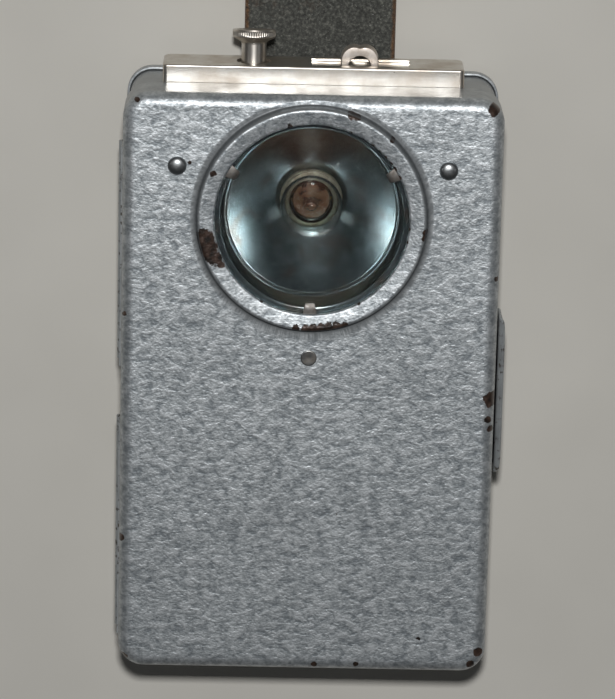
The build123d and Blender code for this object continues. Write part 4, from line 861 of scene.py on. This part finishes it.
def face_rivets():
    """Two domed heads and a flat one, each with its shank and the tail behind the ear."""
    radius, shank = 1.75, 0.9
    low, height = from_face(dome_low, dome_high)
    tail = [(shank, -1.0), (1.5, -1.0), (1.4, low), (0, low)]
    polar = np.linspace(0, pi / 2, 14)
    dome = np.column_stack([radius * np.sin(polar) ** 0.9, (height - 0.12) * np.cos(polar) + 0.12])
    dome = np.vstack([dome, bent(
        [(radius, 0.1), (radius, -0.02), (shank, -0.02)] + tail, (0, 0.08, 0, 0, 0, 0.15, 0), 3,
    )])
    grids = [turned(dome, on_rivet_circle(degrees), 48) for degrees in DOME_ANGLES]
    make_piece("domed_rivets", grids, rivet_grey, ["dome_rivets"], "cover", sharp=60)
    flat = bent(
        [(0, 0.27), (0.5, 0.3), (1.5, 0.35), (1.5, -0.02), (shank, -0.02)] + tail,
        (0, 0.2, 0.25, 0, 0, 0, 0, 0.15, 0), 5,
    )
    grid = turned(flat, on_rivet_circle(FLAT_ANGLE), 48)
    make_piece("worn_rivet", [grid], steel, ["flat_rivet"], "cover", sharp=60)


# ---- Switch ----
def leaning(grid, foot):
    """Turns a stem about its foot: by nothing below it, and by the whole lean from 1 mm above it."""
    up, out = grid[..., 1] - foot[1], grid[..., 2] - foot[2]
    share = np.clip((up + 0.2) / 1.2, 0, 1)
    lean = radians(BUTTON_LEAN) * share * share * (3 - 2 * share)
    leant = grid.copy()
    leant[..., 1] = foot[1] + up * np.cos(lean) - out * np.sin(lean)
    leant[..., 2] = foot[2] + up * np.sin(lean) + out * np.cos(lean)
    return leant


def push_button():
    """The button: a reeded rim, its radius less by 0.09 |sin 30 a| at angle a, on a coned stem.

    Inside the cap the stem has a flange, and below it the plunger that pushes the contact leaf.
    """
    top = button_high[1] - cap_high[1]
    foot = button_low[1] - cap_high[1]
    head, stem, flange, plunger = (button_high[0] - button_low[0]) / 2, 2.3, 3.6, 1.5
    crown = bent([
        (0, top - 0.16), (head - 1.1, top - 0.16), (head - 0.7, top), (head, top),
    ], (0, 0.3, 0.3, 0), 4)
    shoulder = bent([tuple(crown[-2]), (head, top), (head, top - 0.4)], (0, 0.22, 0), 5)
    crown = np.vstack([crown[:-1], shoulder[1:]])
    rim = np.column_stack([np.full(5, head), np.linspace(top - 0.4, top - 1.1, 5)])
    lower = bent([
        (head, top - 1.1), (head, top - 1.4), (stem, top - 2.3), (stem, -0.5), (flange, -0.5),
        (flange, -1.2), (plunger, -1.2), (plunger, foot + 0.9), (1.1, foot + 0.2), (0, foot),
    ], (0, 0.2, 0.45, 0, 0, 0, 0, 0.4, 0.5, 0), 5)
    profile = np.vstack([crown, rim[1:-1], lower])
    around, reeds, reed_depth = 480, 30, 0.09
    angle = np.linspace(0, 2 * pi, around + 1)
    radius, height = profile.T
    reeded = (height > top - 1.25) & (height < top - 0.25) & (radius > head - 0.1)
    swell = -reed_depth * np.abs(np.sin(reeds * angle))[None, :] * reeded[:, None]
    centre = (BUTTON_AXIS[0], cap_high[1], BUTTON_AXIS[2])
    grid = leaning(turned(profile, centre, around, 1, swell), centre)
    make_piece("button", [grid], nickel, ["push_button"], "button", sharp=50)


def return_spring():
    """The button's spring: round its axis the wire rises evenly.

    At turn a and angle b round the wire, a point is at radius R + w cos b and height h a + w sin b.
    """
    wire, turns, travel, steps, slack = 0.2, 2.5, 1.6, 140, 0.98
    middle = (spring_low + spring_high) / 2
    coil_radius = (spring_high[0] - spring_low[0]) / 2 - wire
    turn = np.linspace(0, 2 * pi * turns, steps)[:, None]
    round_wire = np.linspace(0, 2 * pi, 17)[None, :]
    thickness = np.full((steps, 1), wire)
    thickness[[0, -1]] = 0.0
    out = coil_radius + thickness * np.cos(round_wire)
    height = np.linspace(spring_low[1] + wire, spring_high[1] - wire, steps)[:, None]
    grid = np.stack([
        middle[0] + out * np.cos(turn), height + thickness * np.sin(round_wire),
        middle[2] + out * np.sin(turn),
    ], -1)
    piece = make_piece("return_spring", [grid], steel, ["button_spring"], "case", sharp=70)
    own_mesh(piece)


def thumb_loop():
    """The slide's looped tab: a strip between a half-round opening and an arch with a dip in its top.

    At angle t the opening is at its radius times (cos t, sin t). The arch is at half the width times
    cos t to the power 0.7 and at the rise times sin t to the power 0.7, less the dip. The strip runs
    midway between them.
    """
    steps, opening_radius = 60, 2.05
    half = (loop_high[0] - loop_low[0]) / 2 - 0.03
    rise = loop_high[1] - loop_low[1] - 0.03
    depth = loop_high[2] - loop_low[2]
    middle = (loop_low + loop_high) / 2
    turn = np.linspace(0, pi, steps)
    across, up = -np.cos(turn), np.sin(turn)
    arch_x = half * np.sign(across) * np.abs(across) ** 0.7
    arch_y = rise * up ** 0.7 - 0.3 * np.exp(-(arch_x / 1.2) ** 2)
    opening = opening_radius * np.column_stack([across, up])
    arch = np.column_stack([arch_x, arch_y])
    centre = (opening + arch) / 2
    thickness = np.linalg.norm(arch - opening, axis=1)
    path = np.column_stack([
        middle[0] + centre[:, 0], loop_low[1] + centre[:, 1], np.full(steps, middle[2]),
    ])
    grid = carried(path, (0, 0, 1), depth, thickness, 0.2, 4)
    make_piece("thumb_loop", [grid], worn_nickel, ["slide_tab"], "slide", sharp=70)


# ---- Latch ----
def latch_spring():
    """The latch: one strip from its riveted foot, stepped out over the cover's edge, to its lip.

    Its ends are rounded: near an end the width is less, as on a circle.
    """
    half, lip, steps, round_off = LATCH_SHEET / 2, 0.8, 60, 2.0
    foot_x, arm_x = foot_low[0] + half, arm_high[0] - lip - half
    step_z = SEAM_Z - 2.2
    arm_z = step_z + 1.8
    line = bent([
        (foot_x, foot_low[2]), (foot_x, step_z + 0.1), (arm_x, arm_z), (arm_x, arm_high[2] - lip),
        (arm_x + lip - 0.05, arm_high[2]),
    ], (0, 0.6, 0.6, 0.5, 0), 6)
    so_far = np.concatenate([[0], np.cumsum(np.linalg.norm(np.diff(line, axis=0), axis=1))])
    place = np.linspace(0, so_far[-1], steps)
    line = np.column_stack([np.interp(place, so_far, line[:, k]) for k in (0, 1)])
    middle = (foot_low[1] + foot_high[1]) / 2
    path = np.column_stack([line[:, 0], np.full(steps, middle), line[:, 1]])
    near = np.clip(round_off - np.minimum(place, place[-1] - place), 0, round_off)
    width = foot_high[1] - foot_low[1] - 2 * (round_off - np.sqrt(round_off ** 2 - near ** 2))
    grid = carried(path, (0, 1, 0), width, LATCH_SHEET, 0.15)
    piece = make_piece("latch_spring", [grid], dark_paint, ["latch_foot", "latch_arm"])
    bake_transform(piece)


# ---- Leather ----
def strap():
    """The leather: a sheet round its buttonhole, with its edges rounded.

    The two faces part from the edge as a quarter ellipse, and the upper one is gently uneven.
    """
    low_y, high_y = strap_low[1], end_high[1]
    left, right = strap_low[0], strap_high[0]
    middle, half = (left + right) / 2, (right - left) / 2
    end_radius, hole_radius, slit, slit_half = 10.0, 4.0, 10.0, 0.5
    hole_y, straight_y = high_y - end_radius, high_y - end_radius - 4.0
    split_y = hole_y - hole_radius - slit - 3.0
    thickness = strap_high[2] - strap_low[2]
    edge_width, far = 0.9, 9.0
    insets = np.array([0.0, 0.04, 0.14, 0.32, 0.6, 0.9, 1.6, 2.8])

    # the plain length: rows along Y, columns across, with the end rounded at its lower end
    across = np.concatenate([
        -half + insets, np.linspace(-half + 4.4, half - 4.4, 33), half - insets[::-1],
    ])
    rows = np.concatenate([low_y + insets, np.linspace(low_y + 3.6, split_y, 150)])
    near = np.clip(end_radius - (rows - low_y), 0, end_radius)
    narrowing = (half - end_radius + np.sqrt(np.maximum(end_radius ** 2 - near ** 2, 0))) / half
    plain = np.stack([middle + across[None, :] * narrowing[:, None],
                      np.broadcast_to(rows[:, None], (len(rows), len(across)))], -1)
    from_side = (half - np.abs(across))[None, :] * np.ones((len(rows), 1))
    from_end = (rows - low_y)[:, None] * np.ones((1, len(across)))
    plain_away = np.minimum(from_side, from_end)

    # the end round the hole: each column runs from the hole's edge to the strap's edge
    quarter = np.linspace(-pi / 2 + np.arcsin(slit_half / hole_radius), pi / 2, 40)
    slit_end = hole_y - hole_radius - slit
    side_count, corner_count = 25, 31
    right_half = across[len(across) // 2:]
    first_count = len(right_half)
    hole_right = np.concatenate([
        np.column_stack([np.linspace(0.0, slit_half, first_count), np.full(first_count, slit_end)]),
        np.linspace((slit_half, slit_end), (slit_half, hole_y - hole_radius), side_count)[1:],
        np.column_stack([hole_radius * np.cos(quarter), hole_y + hole_radius * np.sin(quarter)]),
    ])
    corner_turn = np.linspace(0, pi / 2, corner_count)
    edge_right = np.concatenate([
        np.column_stack([right_half, np.full(first_count, split_y)]),
        np.linspace((half, split_y), (half, straight_y), side_count)[1:],
        np.linspace((half, straight_y), (half, high_y - end_radius), 5)[:-1],
        np.column_stack([half - end_radius + end_radius * np.cos(corner_turn),
                         high_y - end_radius + end_radius * np.sin(corner_turn)]),
        np.column_stack([np.linspace(half - end_radius, 0.0, 6)[1:], np.full(5, high_y)]),
    ])
    hole_right[-1], edge_right[-1] = (0.0, hole_y + hole_radius), (0.0, high_y)
    mirror_x = np.array([-1, 1])
    inner = np.vstack([hole_right, (hole_right * mirror_x)[-2::-1]])
    outer = np.vstack([edge_right, (edge_right * mirror_x)[-2::-1]])
    span = np.linalg.norm(outer - inner, axis=1)
    near_hole, near_edge = [0, 0.01, 0.04, 0.08], [0.92, 0.96, 0.99, 1.0]
    share = np.concatenate([near_hole, np.linspace(0.14, 0.86, 16), near_edge])
    end = inner[None] + (outer - inner)[None] * share[:, None, None]
    from_hole = np.minimum(share[:, None] * span, far)
    real_edge = outer[:, 1] > split_y + TINY
    from_edge = np.where(real_edge[None, :], (1 - share)[:, None] * span, far)
    from_long_side = np.maximum(half - np.abs(end[..., 0]), 0)
    end_away = np.minimum(from_hole, np.minimum(from_edge, from_long_side))
    end = end + [middle, 0]
    grids, edges = [], []
    for flat, away in ((plain, plain_away), (end, end_away)):
        depth = np.clip(away / edge_width, 0, 1)
        swell = np.sqrt(np.maximum(1 - (1 - depth) ** 2, 0))
        x, y = flat[..., 0], flat[..., 1]
        wave = ripples(x, y, (19, 11, 6), (0.07, 0.04, 0.02)) * swell
        top = strap_low[2] + thickness / 2 + swell * (thickness / 2 - 0.16) + wave
        bottom = strap_low[2] + thickness / 2 - swell * (thickness / 2 - 0.02)
        grids += [np.concatenate([flat, z[..., None]], -1) for z in (top, bottom)]
        edges += [np.clip(1 - away / 1.6, 0, 1)] * 2
    piece = make_piece("leather_tab", grids, hide, ["strap_back", "strap_end"], sharp=60,
                       marks={"edge": edges})
    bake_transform(piece)


front_cover()
back_tray()
window()
reflector()
bulb()
bulb_fittings()
face_rivets()
push_button()
return_spring()
thumb_loop()
latch_spring()
strap()

# ---- Finishes of the CAD nodes ----
NODE_FINISHES = (
    (hammertone, ["body_band"]),
    (card, ["liner_card"]),
    (dark_paint, ["cover_hinge_leaf", "body_hinge_leaf"]),
    (steel, ["hinge_pins", "reflector_carrier", "strip_rivet", "latch_rivets", "strap_rivets"]),
    (nickel, ["switch_cap", "slide_plate"]),
    (fibre, ["contact_board", "slide_bed", "slide_lug", "leaf_post"]),
    (brass, ["contact_leaf", "contact_strip", "battery_long_strip", "battery_short_strip",
             "bulb_contact"]),
    (wrapper, ["battery_sleeve"]),
    (zinc, ["battery_cells"]),
    (pitch, ["battery_seal"]),
)
for finish, nodes in NODE_FINISHES:
    for node in nodes:
        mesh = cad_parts[node].data
        mesh.materials.clear()
        mesh.materials.append(finish)


# ---- Floor, light and camera ----
def floor():
    """A plain pale floor."""
    made = Finish("floor")
    tone = made.ramp(made.grain(30.0), (0.3, level(214, 211, 203)), (0.7, level(220, 217, 209)))
    made.set(Base_Color=tone, Roughness=0.9, Specular_IOR_Level=0.2)
    reach = 3.0
    mesh = bpy.data.meshes.new("floor")
    mesh.from_pydata([(-reach, -reach, 0), (reach, -reach, 0), (reach, reach, 0), (-reach, reach, 0)],
                     [], [(0, 1, 2, 3)])
    mesh.materials.append(made.material)
    put("floor", mesh)


def camera():
    """The camera, above the torch and towards its switch end."""
    tilt = (Matrix.Rotation(-0.0198, 3, "Z") @ Matrix.Rotation(0.0135, 3, "Y")
            @ Matrix.Rotation(0.2837, 3, "X"))
    place = Vector((-9.72, 204.55, FACE_Z + 674.42)) * MM
    lens = bpy.data.cameras.new("camera")
    lens.sensor_width = 36.0
    lens.lens = 194.6
    made = put("camera", lens)
    made.matrix_world = Matrix.Translation(place) @ tilt.transposed().to_4x4()
    bpy.context.scene.camera = made
    return place


def area_light(name, place, size, power):
    """A soft square light that faces the middle of the case."""
    lamp = bpy.data.lights.new(name, "AREA")
    lamp.size = size
    lamp.energy = power
    made = put(name, lamp)
    way = Vector((0.0, 0.0, 0.0)) - Vector(place)
    made.matrix_world = Matrix.Translation(place) @ way.to_track_quat("-Z", "Y").to_matrix().to_4x4()


floor()
camera_place = camera()
area_light("key", camera_place + Vector((0.0, 0.085, 0.02)), 0.04, 3.3)
area_light("left_fill", (-1.0, 0.2, 0.9), 0.3, 0.2)
area_light("right_fill", (1.0, 0.1, 0.9), 0.3, 0.16)
world = bpy.data.worlds.new("studio")
world.use_nodes = True
sky = world.node_tree.nodes["Background"].inputs
sky["Color"].default_value = (0.92, 0.95, 1.0, 1.0)
sky["Strength"].default_value = 0.03
bpy.context.scene.world = world
bpy.context.scene.view_settings.view_transform = "Standard"
